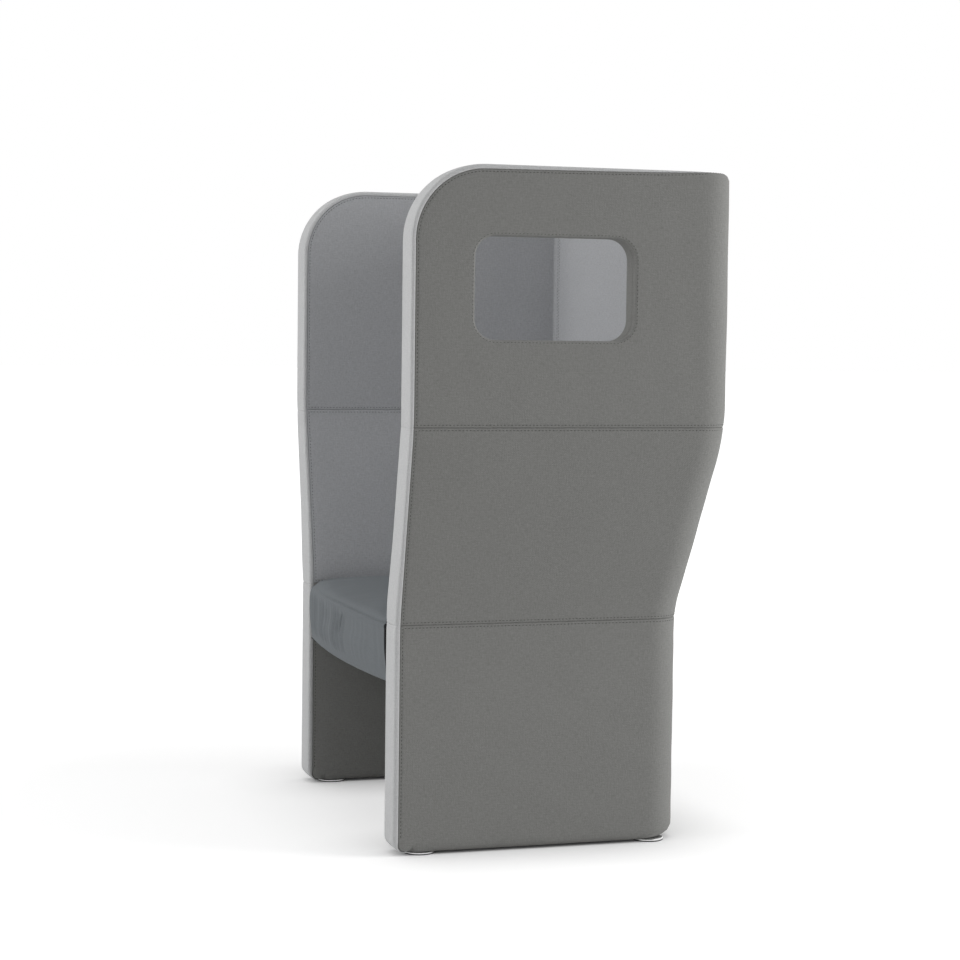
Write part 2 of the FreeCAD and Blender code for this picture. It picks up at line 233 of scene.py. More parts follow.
def newMaterial(name):
    material = bpy.data.materials.new(name)
    material.use_nodes = True
    tree = material.node_tree
    return material, tree, tree.nodes["Principled BSDF"]


def coordinates(tree, kind):
    return tree.nodes.new("ShaderNodeTexCoord").outputs[kind]


def useGroup(tree, group, inputs):
    return addNode(tree, "ShaderNodeGroup", inputs, node_tree=group)


def addBump(tree, shader, height, distance, strength):
    bump = addNode(tree, "ShaderNodeBump", {"Distance": distance, "Strength": strength, "Height": height})
    tree.links.new(bump.outputs[0], shader.inputs["Normal"])


def paintShader(tree, shader, inputs):
    for label, value in inputs.items():
        feed(tree, shader.inputs[label], value)


def clothMaterial(name, colour, settings):
    material, tree, shader = newMaterial(name)
    wool = useGroup(tree, woolGroup, {
        "Vector": coordinates(tree, settings.get("coordinates", "UV")),
        "Yarns per metre": settings["yarns"],
        "Yarn contrast": settings["yarnContrast"],
        "Nap contrast": settings["napContrast"],
        "Slow contrast": settings["slowContrast"],
    })
    paintShader(tree, shader, {
        "Base Color": toned(tree, colour, wool.outputs["Tone"]),
        "Roughness": mathNode(tree, "MULTIPLY", wool.outputs["Tone"], 0.88, clamp=True),
        "Sheen Weight": settings["sheen"],
        "Sheen Roughness": 0.45,
        "Sheen Tint": (*[min(1.0, c * 1.6 + 0.1) for c in colour], 1.0),
        "Specular IOR Level": 0.25,
    })
    addBump(tree, shader, wool.outputs["Height"], settings["bump"], 0.55)
    return material


woolSettings = {"yarns": 620.0, "yarnContrast": 0.10, "napContrast": 0.34, "slowContrast": 0.06,
                "sheen": 0.12, "bump": 0.0005}
outerCloth = clothMaterial("outerWool", (0.266, 0.266, 0.256), woolSettings)
innerCloth = clothMaterial("innerWool", (0.472, 0.479, 0.495), woolSettings)
bandCloth = clothMaterial("bandWool", (0.650, 0.655, 0.658), {**woolSettings, "napContrast": 0.20})
seatSettings = {**woolSettings, "yarns": 900.0, "napContrast": 0.22, "bump": 0.0003}
seatCloth = clothMaterial("seatWool", (0.172, 0.187, 0.198), seatSettings)
linerSettings = {**woolSettings, "coordinates": "Object", "sheen": 0.05}
linerCloth = clothMaterial("blackLining", (0.018, 0.018, 0.019), linerSettings)


def threadMaterial(name, colour):
    material, tree, shader = newMaterial(name)
    grain = noiseNode(tree, coordinates(tree, "Object"), 900.0, 2.0)
    tone = mapRange(tree, grain, (0.0, 1.0), (0.75, 1.25))
    paintShader(tree, shader, {"Base Color": toned(tree, colour, tone), "Roughness": 0.6})
    addBump(tree, shader, grain, 0.0002, 0.5)
    return material


# Painted shade: the threads are tone on tone with the cloth, and these dark colours stand for the shade in
# the stitch dimples
outerThreadShaded = threadMaterial("outerThreadShaded", (0.072, 0.072, 0.068))
innerThreadShaded = threadMaterial("innerThreadShaded", (0.150, 0.153, 0.160))


# Finishes of the frame's own pieces

def plywoodMaterial():
    material, tree, shader = newMaterial("birchPlywood")
    where = coordinates(tree, "Object")
    grain = noiseNode(tree, where, 1.0, 4.0, (14.0, 14.0, 160.0))
    plies = addNode(tree, "ShaderNodeTexWave", {"Vector": where, "Scale": 90.0, "Distortion": 0.4},
                    wave_type="BANDS", bands_direction="X")
    light = mixColour(tree, grain, (0.62, 0.44, 0.27, 1.0), (0.74, 0.57, 0.38, 1.0))
    factor = mathNode(tree, "MULTIPLY", plies.outputs[1], 0.25)
    colour = mixColour(tree, factor, light, (0.40, 0.26, 0.14, 1.0))
    paintShader(tree, shader, {"Base Color": colour, "Roughness": 0.6})
    addBump(tree, shader, grain, 0.0003, 0.3)
    return material


def metalMaterial(name, colour, roughness, scratch):
    material, tree, shader = newMaterial(name)
    fine = noiseNode(tree, coordinates(tree, "Object"), 1.0, 3.0, (300.0, 300.0, 900.0))
    wear = useGroup(tree, wearGroup, {"Low": 0.50, "High": 0.60}).outputs[0]
    paintShader(tree, shader, {
        "Metallic": 1.0,
        "Base Color": mixColour(tree, wear, (*colour, 1.0), (0.92, 0.92, 0.92, 1.0)),
        "Roughness": mathNode(tree, "ADD", mathNode(tree, "MULTIPLY", fine, scratch), roughness),
    })
    addBump(tree, shader, fine, 0.00005, 0.1)
    return material


def plasticMaterial():
    material, tree, shader = newMaterial("blackNylon")
    grain = noiseNode(tree, coordinates(tree, "Object"), 700.0, 3.0)
    wear = useGroup(tree, wearGroup, {"Low": 0.50, "High": 0.65}).outputs[0]
    paintShader(tree, shader, {
        "Base Color": mixColour(tree, wear, (0.016, 0.016, 0.017, 1.0), (0.06, 0.06, 0.06, 1.0)),
        "Roughness": mathNode(tree, "ADD", mathNode(tree, "MULTIPLY", grain, 0.2), 0.38),
    })
    addBump(tree, shader, grain, 0.0002, 0.25)
    return material


finishes = {
    "plywood": plywoodMaterial(),
    "chrome": metalMaterial("polishedChrome", (0.80, 0.80, 0.81), 0.05, 0.06),
    "zinc_steel": metalMaterial("zincPlate", (0.62, 0.63, 0.66), 0.28, 0.15),
    "foot_plastic": plasticMaterial(),
    "liner_fabric": linerCloth,
    "foam": linerCloth,
    "outer_fabric": outerCloth,
    "inner_fabric": innerCloth,
    "band_fabric": bandCloth,
    "seat_fabric": seatCloth,
}
slotOf = {part["node"]: part["material_slot"] for part in frame["record"]["subparts"]}
for nodeName, node in frame["nodes"].items():
    node.data.materials.clear()
    node.data.materials.append(finishes[slotOf[nodeName]])
print("materials made")


# The walls' surfaces

def ramp(distance, soft):
    bent = (distance + soft) ** 2 / (4 * soft)
    return np.where(distance <= -soft, 0.0, np.where(distance >= soft, distance, bent))


def lean(z, folds, soft):
    return (ramp(z - folds[0], soft[0]) - ramp(z - folds[1], soft[1])) / (folds[1] - folds[0])


def halfAndBack(inset, halfFolds, backFolds, softHalf, softBack):
    def surface(low, high, folds, soft):
        def at(z):
            return shell[low] - inset + (shell[high] - shell[low]) * lean(z, shell[folds], shell[soft])
        return at
    return (surface("halfLow", "halfHigh", halfFolds, softHalf),
            surface("backLow", "backHigh", backFolds, softBack))


outerHalf, outerBack = halfAndBack(0.0, "outerFolds", "backFolds", "softSide", "softBack")
innerHalf, innerBack = halfAndBack(shell["wall"], "innerFolds", "innerFolds", "softInner", "softInner")


# The upper edge from the rear corner, share 0, to the front bend, 1: the cover's round, the height that is
# left for the band beside it, and how far the cover goes round
def headShape(share):
    radius = shell["headBack"] * (1 - share) ** 2 + shell["headLeast"]
    depth = shell["setback"] * share ** shell["headClimb"]
    angle = np.arcsin(np.clip(1 - depth / radius, 0.0, 1.0))
    return radius, depth, angle


# A flat cloth plan: w runs along the wall from the middle of the back, left positive, and v runs upwards
class WallPlan:
    def __init__(self, outward, level):
        z = np.array([level])
        self.outward = outward
        outside = outward > 0
        self.halfAt, self.backAt = (outerHalf, outerBack) if outside else (innerHalf, innerBack)
        self.radius = shell["cornerRadius"] if outside else shell["innerCorner"]
        self.halfRun = float(self.halfAt(z)[0]) - self.radius
        self.turn = self.radius * math.pi / 2
        self.wingRun = float(self.backAt(z)[0]) - self.radius - shell["frontY"]
        self.reach = self.halfRun + self.turn + self.wingRun

    # The lower edge turns under the wall and ends in a hem
    def foot(self, w, v, off):
        near = np.clip((np.abs(w) - self.halfRun - 0.3 * self.turn) / (0.7 * self.turn + 0.05), 0.0, 1.0)
        near = near * near * (3 - 2 * near)
        back = shell["footBack"] if self.outward > 0 else shell["footWing"]
        radius = back + (shell["footWing"] - back) * near
        start = shell["baseZ"] + radius
        run = np.maximum(start - v, 0.0)
        angle = np.minimum(run / radius, math.pi / 2)
        under = np.maximum(run - radius * math.pi / 2, 0.0)
        z = np.where(run > 0, start - (radius + off) * np.sin(angle), v)
        out = np.where(run > 0, (radius + off) * np.cos(angle) - radius - under, off)
        return z, out

    def headShare(self, w):
        return np.clip((np.abs(w) - self.halfRun - self.turn) / (self.wingRun - shell["topFront"]), 0.0, 1.0)

    # The outer cover's upper border, which climbs over the edge towards the rear
    def headBorder(self, w):
        radius, depth, angle = headShape(self.headShare(w))
        return shell["topZ"] + np.where(depth < radius, radius * (angle - 1), -depth)

    def point(self, w, v, off):
        w, v, off = np.broadcast_arrays(np.asarray(w, float), np.asarray(v, float), np.asarray(off, float))
        z, out = self.foot(w, v, off)
        if self.outward > 0:
            radius = headShape(self.headShare(w))[0]
            run = v - shell["topZ"] + radius
            angle = np.clip(run / radius, 0.0, math.pi / 2)
            reach = radius + seam["topShare"] * off
            z = np.where(run > 0, shell["topZ"] - radius + reach * np.sin(angle), z)
            out = np.where(run > 0, reach * np.cos(angle) - radius, out)
        out = out * self.outward
        side = np.where(w >= 0, 1.0, -1.0)
        along = np.abs(w)
        half, back = self.halfAt(z), self.backAt(z)
        angle = np.clip((along - self.halfRun) / self.turn, 0.0, 1.0) * math.pi / 2
        onBack = along <= self.halfRun
        onTurn = ~onBack & (along < self.halfRun + self.turn)
        forward = self.reach - along
        wing = back - self.radius - shell["frontY"]
        yWing = shell["frontY"] + forward + (wing - self.wingRun) * (forward / self.wingRun) ** 2
        xTurn = half - self.radius + (self.radius + out) * np.sin(angle)
        yTurn = back - self.radius + (self.radius + out) * np.cos(angle)
        x = np.where(onBack, along * (half - self.radius) / self.halfRun, np.where(onTurn, xTurn, half + out))
        y = np.where(onBack, back + out, np.where(onTurn, yTurn, yWing))
        return np.stack([side * x, y, z], -1)


def straight(start, end):
    length = math.hypot(end[0] - start[0], end[1] - start[1])
    count = max(1, round(length / cloth["edgeStep"]))
    return [(start[0] + (end[0] - start[0]) * i / count, start[1] + (end[1] - start[1]) * i / count)
            for i in range(count)]


def bend(centre, radius, start, end, step):
    count = max(4, round(radius * math.radians(abs(end - start)) / step))
    angles = [math.radians(start + (end - start) * i / count) for i in range(count)]
    return [(centre[0] + radius * math.cos(a), centre[1] + radius * math.sin(a)) for a in angles]


# Outline of a panel, counter-clockwise; footRound and topRound give the left and right corners' radii
def outline(left, right, low, high, topRound=(0.0, 0.0), footRound=(0.0, 0.0)):
    level = shell["baseZ"]
    footLeft, footRight = footRound
    topLeft, topRight = topRound
    points = straight((left + footLeft, low), (right - footRight, low))
    if footRight:
        points += straight((right - footRight, low), (right - footRight, level))
        points += bend((right - footRight, level + footRight), footRight, -90, 0, cloth["footStep"])
    points += straight((right, level + footRight if footRight else low), (right, high - topRight))
    if topRight:
        points += bend((right - topRight, high - topRight), topRight, 0, 90, cloth["edgeStep"])
    points += straight((right - topRight, high), (left + topLeft, high))
    if topLeft:
        points += bend((left + topLeft, high - topLeft), topLeft, 90, 180, cloth["edgeStep"])
    points += straight((left, high - topLeft), (left, level + footLeft if footLeft else low))
    if footLeft:
        points += bend((left + footLeft, level + footLeft), footLeft, 180, 270, cloth["footStep"])
        points += straight((left + footLeft, level), (left + footLeft, low))
    return np.array(points)


# A rounded opening, clockwise, so that its inner side is the cloth's
def openingLoop(left, right, low, high, radius):
    inLeft, inRight, inLow, inHigh = left + radius, right - radius, low + radius, high - radius
    sidesOf = (((left, inLow), (left, inHigh)), ((inLeft, high), (inRight, high)),
               ((right, inHigh), (right, inLow)), ((inRight, low), (inLeft, low)))
    centres = ((inLeft, inHigh), (inRight, inHigh), (inRight, inLow), (inLeft, inLow))
    points = []
    for (start, end), centre, angle in zip(sidesOf, centres, (180, 90, 0, -90)):
        points += straight(start, end) + bend(centre, radius, angle, angle - 90, cloth["openingStep"])
    return np.array(points)


def offsetLoop(loop, distance):
    ahead = np.roll(loop, -1, axis=0) - loop
    ahead /= np.linalg.norm(ahead, axis=1)[:, None]
    normal = np.stack([-ahead[:, 1], ahead[:, 0]], -1)
    before = np.roll(normal, 1, axis=0)
    mitre = (normal + before) / (1 + (normal * before).sum(1))[:, None]
    return loop + mitre * distance


def insideLoop(points, loop):
    inside = np.zeros(len(points), bool)
    after = np.roll(loop, -1, axis=0)
    for (x0, y0), (x1, y1) in zip(loop, after):
        if y0 == y1:
            continue
        crosses = (points[:, 1] > min(y0, y1)) & (points[:, 1] <= max(y0, y1))
        inside ^= crosses & (points[:, 0] < x0 + (points[:, 1] - y0) * (x1 - x0) / (y1 - y0))
    return inside


def distanceToLoop(points, loop):
    best = np.full(len(points), 1e9)
    for start, end in zip(loop, np.roll(loop, -1, axis=0)):
        way = end - start
        share = np.clip(((points - start) @ way) / (way @ way), 0.0, 1.0)
        best = np.minimum(best, np.linalg.norm(points - start - share[:, None] * way, axis=1))
    return best


def seamDip(distance):
    fold = seam["depth"] * np.exp(-(distance / seam["shoulder"]) ** 1.2)
    crown = seam["crown"] * np.exp(-distance / seam["crownReach"])
    row = seam["rowDip"] * np.exp(-((distance - seam["row"]) / seam["rowWidth"]) ** 2)
    return -(fold + crown + row)


# Slow, uneven padding under the cloth, a few waves with fixed turns
def paddingWave(points, seed):
    random = np.random.default_rng(seed)
    total = np.zeros(len(points))
    for length in cloth["waveLengths"]:
        angle = random.uniform(0, 2 * math.pi)
        phase = random.uniform(0, 2 * math.pi)
        way = np.array([math.cos(angle), math.sin(angle)]) * 2 * math.pi / length
        total += np.sin(points @ way + phase)
    return total * cloth["wave"] / 2


def placeObject(name, data):
    item = bpy.data.objects.new(name, data)
    bpy.context.scene.collection.objects.link(item)
    return item


# A flat cloth piece with one UV pair per point, both counted in metres
def meshObject(name, points, faces, uvs, material):
    mesh = bpy.data.meshes.new(name)
    mesh.from_pydata([tuple(p) for p in points], [], [tuple(f) for f in faces])
    layer = mesh.uv_layers.new(name="cloth")
    corner = np.zeros(len(mesh.loops), np.int32)
    mesh.loops.foreach_get("vertex_index", corner)
    layer.data.foreach_set("uv", np.asarray(uvs, np.float32)[corner].ravel())
    mesh.polygons.foreach_set("use_smooth", [True] * len(mesh.polygons))
    mesh.materials.append(material)
    mesh.update()
    return placeObject(name, mesh)


def applyModifiers(piece):
    graph = bpy.context.evaluated_depsgraph_get()
    graph.update()
    finished = bpy.data.meshes.new_from_object(piece.evaluated_get(graph), depsgraph=graph)
    old = piece.data
    piece.modifiers.clear()
    piece.data = finished
    bpy.data.meshes.remove(old)
    finished.name = piece.name
    return piece


def thicken(piece, thickness):
    solid = piece.modifiers.new("thickness", "SOLIDIFY")
    solid.thickness = thickness
    solid.offset = -1.0
    return applyModifiers(piece)


stitchRows = {"outer": [], "inner": []}


# Faces between two rings or rows of points, closed on themselves or open
def gridFaces(rows, count, closed):
    faces = []
    for j in range(rows - 1):
        for k in range(count if closed else count - 1):
            a, b = j * count + k, j * count + (k + 1) % count
            faces.append((a, b, b + count, a + count))
    return faces


def turnFaces(faces, turned):
    return [tuple(reversed(face)) for face in faces] if turned else faces


# Keeps the stretches of a closed stitch line that lie on a seam, as open runs
def addStitches(group, plan, loop, distance, onSeam):
    line = offsetLoop(loop, distance)
    keep = np.array([onSeam(p) for p in line])
    dip = float(seamDip(np.array([distance]))[0])
    centre = plan.point(line[:, 0], line[:, 1], dip)
    above = plan.point(line[:, 0], line[:, 1], dip + 0.001)
    normals = (above - centre) / 0.001
    if keep.all():
        stitchRows[group].append((centre, normals, True))
        return
    first = int(np.argmin(keep))
    order = np.roll(np.arange(len(line)), -first)
    run = []
    for i in list(order) + [None]:
        if i is not None and keep[i]:
            run.append(i)
        elif len(run) > 1:
            stitchRows[group].append((centre[run], normals[run], False))
            run = []
        else:
            run = []


# Puts columns of points exactly on a tight corner, so that it stays crisp
def cornerColumns(plan, columns):
    if plan.turn > cloth["gridStep"]:
        return columns
    special = np.array([side * (plan.halfRun + plan.turn * i / 4) for side in (-1, 1) for i in range(-1, 6)])
    special = special[(special > columns[0] + 0.012) & (special < columns[-1] - 0.012)]
    apart = [c for c in columns if not len(special) or np.abs(special - c).min() > 0.5 * cloth["gridStep"]]
    return np.array(sorted(list(apart) + list(special)))


# The cover rolls into an opening with this radius
def rollDip(distance, radius):
    drop = max(radius - distance, 0.0)
    crown = seam["crown"] * math.exp(-distance / seam["crownReach"])
    return -(radius - math.sqrt(radius ** 2 - drop ** 2) + crown)


def makePanel(name, plan, loop, holes, material, seed, onSeam, stitchGroup, holeRow=0.0045, holeRoll=0.0):
    points, edges, distances, sinks = [], [], [], []
    for border in [loop] + holes:
        rolled = holeRoll > 0 and border is not loop
        for step in ringSteps:
            ring = offsetLoop(border, step)
            start = len(points)
            points.extend(map(tuple, ring))
            distances.extend([step] * len(ring))
            sinks.extend([rollDip(step, holeRoll) if rolled else float(seamDip(step))] * len(ring))
            edges.extend((start + i, start + (i + 1) % len(ring)) for i in range(len(ring)))
    low, high = loop.min(0), loop.max(0)
    counts = np.ceil((high - low) / cloth["gridStep"]).astype(int)
    columns = cornerColumns(plan, np.linspace(low[0], high[0], counts[0] + 1))
    gridW, gridV = np.meshgrid(columns, np.linspace(low[1], high[1], counts[1] + 1))
    grid = np.stack([gridW.ravel(), gridV.ravel()], -1)
    away = distanceToLoop(grid, loop)
    keep = insideLoop(grid, loop)
    for hole in holes:
        away = np.minimum(away, distanceToLoop(grid, hole))
        keep &= ~insideLoop(grid, hole)
    keep &= away > ringSteps[-1] + 0.4 * cloth["gridStep"]
    points.extend(map(tuple, grid[keep]))
    distances.extend(away[keep])
    sinks.extend(seamDip(away[keep]))
    result = delaunay_2d_cdt([Vector(p) for p in points], edges, [], 1, 1e-7, True)
    flat = np.array([tuple(p) for p in result[0]])
    origin = [ids[0] if ids else -1 for ids in result[3]]
    far = np.array([distances[i] if i >= 0 else 0.0 for i in origin])
    sink = np.array([sinks[i] if i >= 0 else 0.0 for i in origin])
    faces = np.array([f[:3] for f in result[2]])
    middle = flat[faces].mean(1)
    good = insideLoop(middle, loop)
    for hole in holes:
        good &= ~insideLoop(middle, hole)
    faces = faces[good]
    calmNear, calmReach = cloth["waveCalm"]
    calm = np.clip((far - calmNear) / calmReach, 0.0, 1.0)
    placed = plan.point(flat[:, 0], flat[:, 1], sink + paddingWave(flat, seed) * calm)
    corner = faces[len(faces) // 2]
    a, b, c = placed[corner]
    here = flat[corner].mean(0)
    out = plan.point(here[0], here[1], 0.001) - plan.point(here[0], here[1], 0.0)
    if np.dot(np.cross(b - a, c - a), out) < 0:
        faces = faces[:, ::-1]
    used, index = np.unique(faces, return_inverse=True)
    piece = meshObject(name, placed[used], index.reshape(faces.shape), flat[used], material)
    thicken(piece, cloth["thickness"])
    addStitches(stitchGroup, plan, loop, seam["row"], onSeam)
    for hole in holes:
        addStitches(stitchGroup, plan, hole, holeRow, lambda p: True)
    return piece


windowLow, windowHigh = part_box("window_lining")
window = {
    "front": windowLow.y + coverCloth,
    "rear": windowHigh.y - coverCloth,
    "sill": windowLow.z + coverCloth,
    "head": windowHigh.z - coverCloth,
    "radius": 0.040,
    "innerRound": 0.019,  # the reveal rolls over this far onto the inner face
    "rim": 0.0016,
    "roll": 0.0050,  # the outer cover's round into the opening
    "seamDepth": 0.0165,  # and the seam inside it where the lining starts
}

tierOuter = {"lower": (shell["baseZ"], shell["outerFolds"][0]), "middle": shell["outerFolds"],
             "upper": (shell["outerFolds"][1], shell["topZ"] - shell["setback"])}
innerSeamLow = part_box("inner_cover_middle")[0].z
tierInner = {"lower": (shell["baseZ"], innerSeamLow), "middle": (innerSeamLow, shell["innerFolds"][1]),
             "upper": (shell["innerFolds"][1], shell["topZ"] - shell["setback"])}
underEdge = 0.024  # how much cloth goes round the lower edge and under it
hem = shell["baseZ"] + 0.03  # no topstitch below this height


def finishPiece(piece, nodes):
    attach(piece, "chair")
    if nodes:
        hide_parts(*nodes)


def windowLoop(plan, grow):
    left = plan.reach - (window["rear"] + grow - shell["frontY"])
    right = plan.reach - (window["front"] - grow - shell["frontY"])
    return openingLoop(left, right, window["sill"] - grow, window["head"] + grow, window["radius"] + grow)


def makeOuterCovers():
    edge = shell["setback"]
    foot = shell["baseFront"] - edge
    corner = shell["topFront"] - edge
    for seed, tier in enumerate(tiers):
        low, high = tierOuter[tier]
        level = {"lower": low, "middle": (low + high) / 2, "upper": high}[tier]
        plan = WallPlan(1.0, level)
        side = plan.reach - edge
        holes, topRound, footRound = [], (0.0, 0.0), (0.0, 0.0)
        if tier == "upper":
            holes = [windowLoop(plan, 0.0)]
            topRound = (corner, corner)
        if tier == "lower":
            low -= underEdge
            footRound = (foot, foot)
        loop = outline(-side, side, low, high, topRound, footRound)
        if tier == "upper":
            onTop = loop[:, 1] > high - 1e-6
            loop[onTop, 1] = plan.headBorder(loop[onTop, 0])
        piece = makePanel(f"outerCover_{tier}", plan, loop, holes, outerCloth, seed + 1,
                          lambda p: p[1] > hem, "outer", holeRoll=window["roll"])
        nodes = [f"outer_cover_{tier}"] + [f"{s}_outer_padding_{tier}" for s in ("left", "right", "back")]
        finishPiece(piece, nodes)


innerSeam = 0.022  # the upright seam on the back, this far from the corner


def makeInnerPanels():
    edge = shell["setback"]
    foot = shell["baseFront"] - edge
    corner = shell["topFront"] - edge
    for seed, tier in enumerate(tiers):
        low, high = tierInner[tier]
        level = {"lower": low, "middle": (low + high) / 2, "upper": high}[tier]
        plan = WallPlan(-1.0, level)
        front = plan.reach - edge
        rear = plan.halfRun + plan.radius - innerSeam
        group, material = ("outer", outerCloth) if tier == "lower" else ("inner", innerCloth)
        if tier == "lower":
            low -= underEdge
        top = corner if tier == "upper" else 0.0
        under = foot if tier == "lower" else 0.0
        spans = {"left": (rear, front, (0.0, top), (0.0, under)),
                 "back": (-rear, rear, (0.0, 0.0), (0.0, 0.0)),
                 "right": (-front, -rear, (top, 0.0), (under, 0.0))}
        for number, (place, (start, end, topRound, footRound)) in enumerate(spans.items()):
            loop = outline(start, end, low, high, topRound, footRound)
            holes = []
            if tier == "upper" and place == "left":
                holes = [windowLoop(plan, window["innerRound"] + window["rim"])]
            piece = makePanel(f"innerPanel_{place}_{tier}", plan, loop, holes, material,
                              10 + 3 * seed + number, lambda p: p[1] > hem, group, 0.0056)
            nodes = [f"{place}_inner_padding_{tier}"]
            if place == "back":
                nodes.append(f"inner_cover_{tier}")
            finishPiece(piece, nodes)


makeOuterCovers()
print("outer covers made")
makeInnerPanels()
print("inner panels made")


# Edge bands: a padded strip that follows the front edge and runs on over the top

band = {
    "edgeRound": 0.0046,
    "frontCrown": 0.0007,
    "turnIn": 0.0024,
    "thinnest": 0.0010,  # its height beside the cover at the rear
    "crossSeam": 0.5,  # the seams across it are this part of the others' depth
    "swell": 0.0025,  # the lower tier stands forward, less and less between these heights
    "swellFade": (0.48, 0.60),
    "step": 0.010,
    "flatCount": 9,
    "counts": (12, 32, 16, 40),  # stations at the foot, at the head, round the corner and along the back
}


# The path of the edge: centre line in side view with its inward normal, then round the rear corner
def bandStations():
    front, base, top = shell["frontY"], shell["baseZ"], shell["topZ"]
    foot, head = shell["baseFront"], shell["topFront"]
    footCount, headCount, cornerCount, backCount = band["counts"]
    stations = []
    for i in range(footCount + 1):
        angle = math.pi / 2 * (1 - i / footCount)
        spot = (front + foot - foot * math.cos(angle), base + foot - foot * math.sin(angle))
        stations.append(("side", spot, (math.cos(angle), math.sin(angle)), angle))
    rise = top - head - base - foot
    levels = set(np.linspace(base + foot, top - head, round(rise / band["step"])).tolist())
    for fold in shell["outerFolds"]:
        for step in ringSteps[:8]:
            levels |= {fold - step, fold + step}
    for z in sorted(levels)[1:]:
        stations.append(("side", (front, z), (1.0, 0.0), None))
    for i in range(1, headCount + 1):
        angle = math.pi / 2 * i / headCount
        spot = (front + head - head * math.cos(angle), top - head + head * math.sin(angle))
        stations.append(("side", spot, (math.cos(angle), -math.sin(angle)), None))
    rearStart = shell["backHigh"] - shell["cornerRadius"]
    count = round((rearStart - front - head) / band["step"])
    for i in range(1, count + 1):
        spot = (front + head + (rearStart - front - head) * i / count, top)
        stations.append(("side", spot, (0.0, -1.0), None))
    for i in range(1, cornerCount + 1):
        stations.append(("corner", math.pi / 2 * i / cornerCount, None, None))
    reach = shell["halfHigh"] - shell["cornerRadius"]
    inner = [reach * (1 - i / backCount) for i in range(1, backCount + 1)] + list(ringSteps[1:8])
    for x in sorted(set(inner), reverse=True):
        stations.append(("back", x, None, None))
    return stations


def footSeamDepth(angle):
    big, small = shell["baseFront"], shell["baseFront"] - shell["setback"]
    gap = big - small
    byLine = small / max(math.cos(angle), 1e-6)
    if big - byLine * math.sin(angle) >= small:
        return big - byLine
    return big - gap * math.sin(angle) - math.sqrt(max(small ** 2 - (gap * math.cos(angle)) ** 2, 0.0))


def bandProfile():
    radius, setback, turnIn = band["edgeRound"], shell["setback"], band["turnIn"]
    points = [(turnIn, 1.0), (turnIn * 0.45, 0.985), (turnIn * 0.14, 0.93), (0.0002, 0.86), (0.0, 0.78)]
    points += [(radius * (1 - math.cos(a)), radius / setback * (1 - math.sin(a)))
               for a in (math.radians(d) for d in (0, 18, 36, 54, 72, 90))]
    return points


# One length of band between two stations, with its ends turned in at the cross seams
def makeBand(name, side, start, end, stations, closeStart, closeEnd):
    profile = bandProfile()
    wall = shell["wall"]
    across = list(profile)
    for i in range(1, band["flatCount"]):
        share = i / band["flatCount"]
        across.append((band["edgeRound"] + (wall - 2 * band["edgeRound"]) * share,
                       -band["frontCrown"] / shell["setback"] * math.sin(math.pi * share)))
    across = np.array(across + [(wall - w, d) for w, d in reversed(profile)])
    outerSide = across[:, 0] < wall / 2
    rearStart = shell["backHigh"] - shell["cornerRadius"]
    lengths = [0.0]
    chosen = stations[start:end + 1]
    placed = [bandCentre(kind, spot) for kind, spot, _, _ in chosen]
    for a, b in zip(placed, placed[1:]):
        lengths.append(lengths[-1] + (Vector(b) - Vector(a)).length)
    total = lengths[-1]
    points, uvs = [], []
    for (kind, spot, normal, angle), run in zip(chosen, lengths):
        gap = min(run if closeStart else 1.0, total - run if closeEnd else 1.0)
        dip = band["crossSeam"] * (-float(seamDip(gap)) - 0.2 * seam["crown"])
        depth = shell["setback"] if angle is None else footSeamDepth(angle)
        scaled = across.copy()
        share = 1.0
        if kind != "side":
            share = 0.0
        elif normal == (0.0, -1.0):
            share = (rearStart - spot[0]) / (rearStart - shell["frontY"] - shell["topFront"])
        radius, outerDepth, turned = headShape(share)
        inset = radius * (1 - math.cos(turned))
        scaled[:, 1] *= np.where(outerSide, max(min(outerDepth, depth), band["thinnest"]), depth)
        scaled[:, 0] += np.where(outerSide, inset * (1 - 2 * across[:, 0] / wall), 0.0)
        scaled[:, 0] += np.clip(wall / 2 - scaled[:, 0], -dip, dip) * 0.8
        scaled[:, 1] += dip * (1 - across[:, 1].clip(0, 1))
        for (w, d) in scaled:
            points.append(bandPoint(kind, spot, normal, w / wall, d, side))
        steps = np.linalg.norm(np.diff(across * [1, depth], axis=0), axis=1)
        uvs.extend((u, run) for u in np.concatenate([[0.0], np.cumsum(steps)]))
    ring = len(across)
    faces = gridFaces(len(chosen), ring, True)
    faces.append(tuple(reversed(range(ring))))
    faces.append(tuple((len(chosen) - 1) * ring + j for j in range(ring)))
    return meshObject(name, points, turnFaces(faces, side < 0), uvs, bandCloth)


def bandCentre(kind, spot):
    if kind == "side":
        return (0.0, spot[0], spot[1])
    mean = shell["cornerRadius"] / 2
    if kind == "corner":
        return (mean * (math.cos(spot) - 1), shell["backHigh"] - mean * (2 - math.sin(spot)), shell["topZ"])
    return (spot - shell["halfHigh"] + mean, shell["backHigh"] - mean, shell["topZ"])


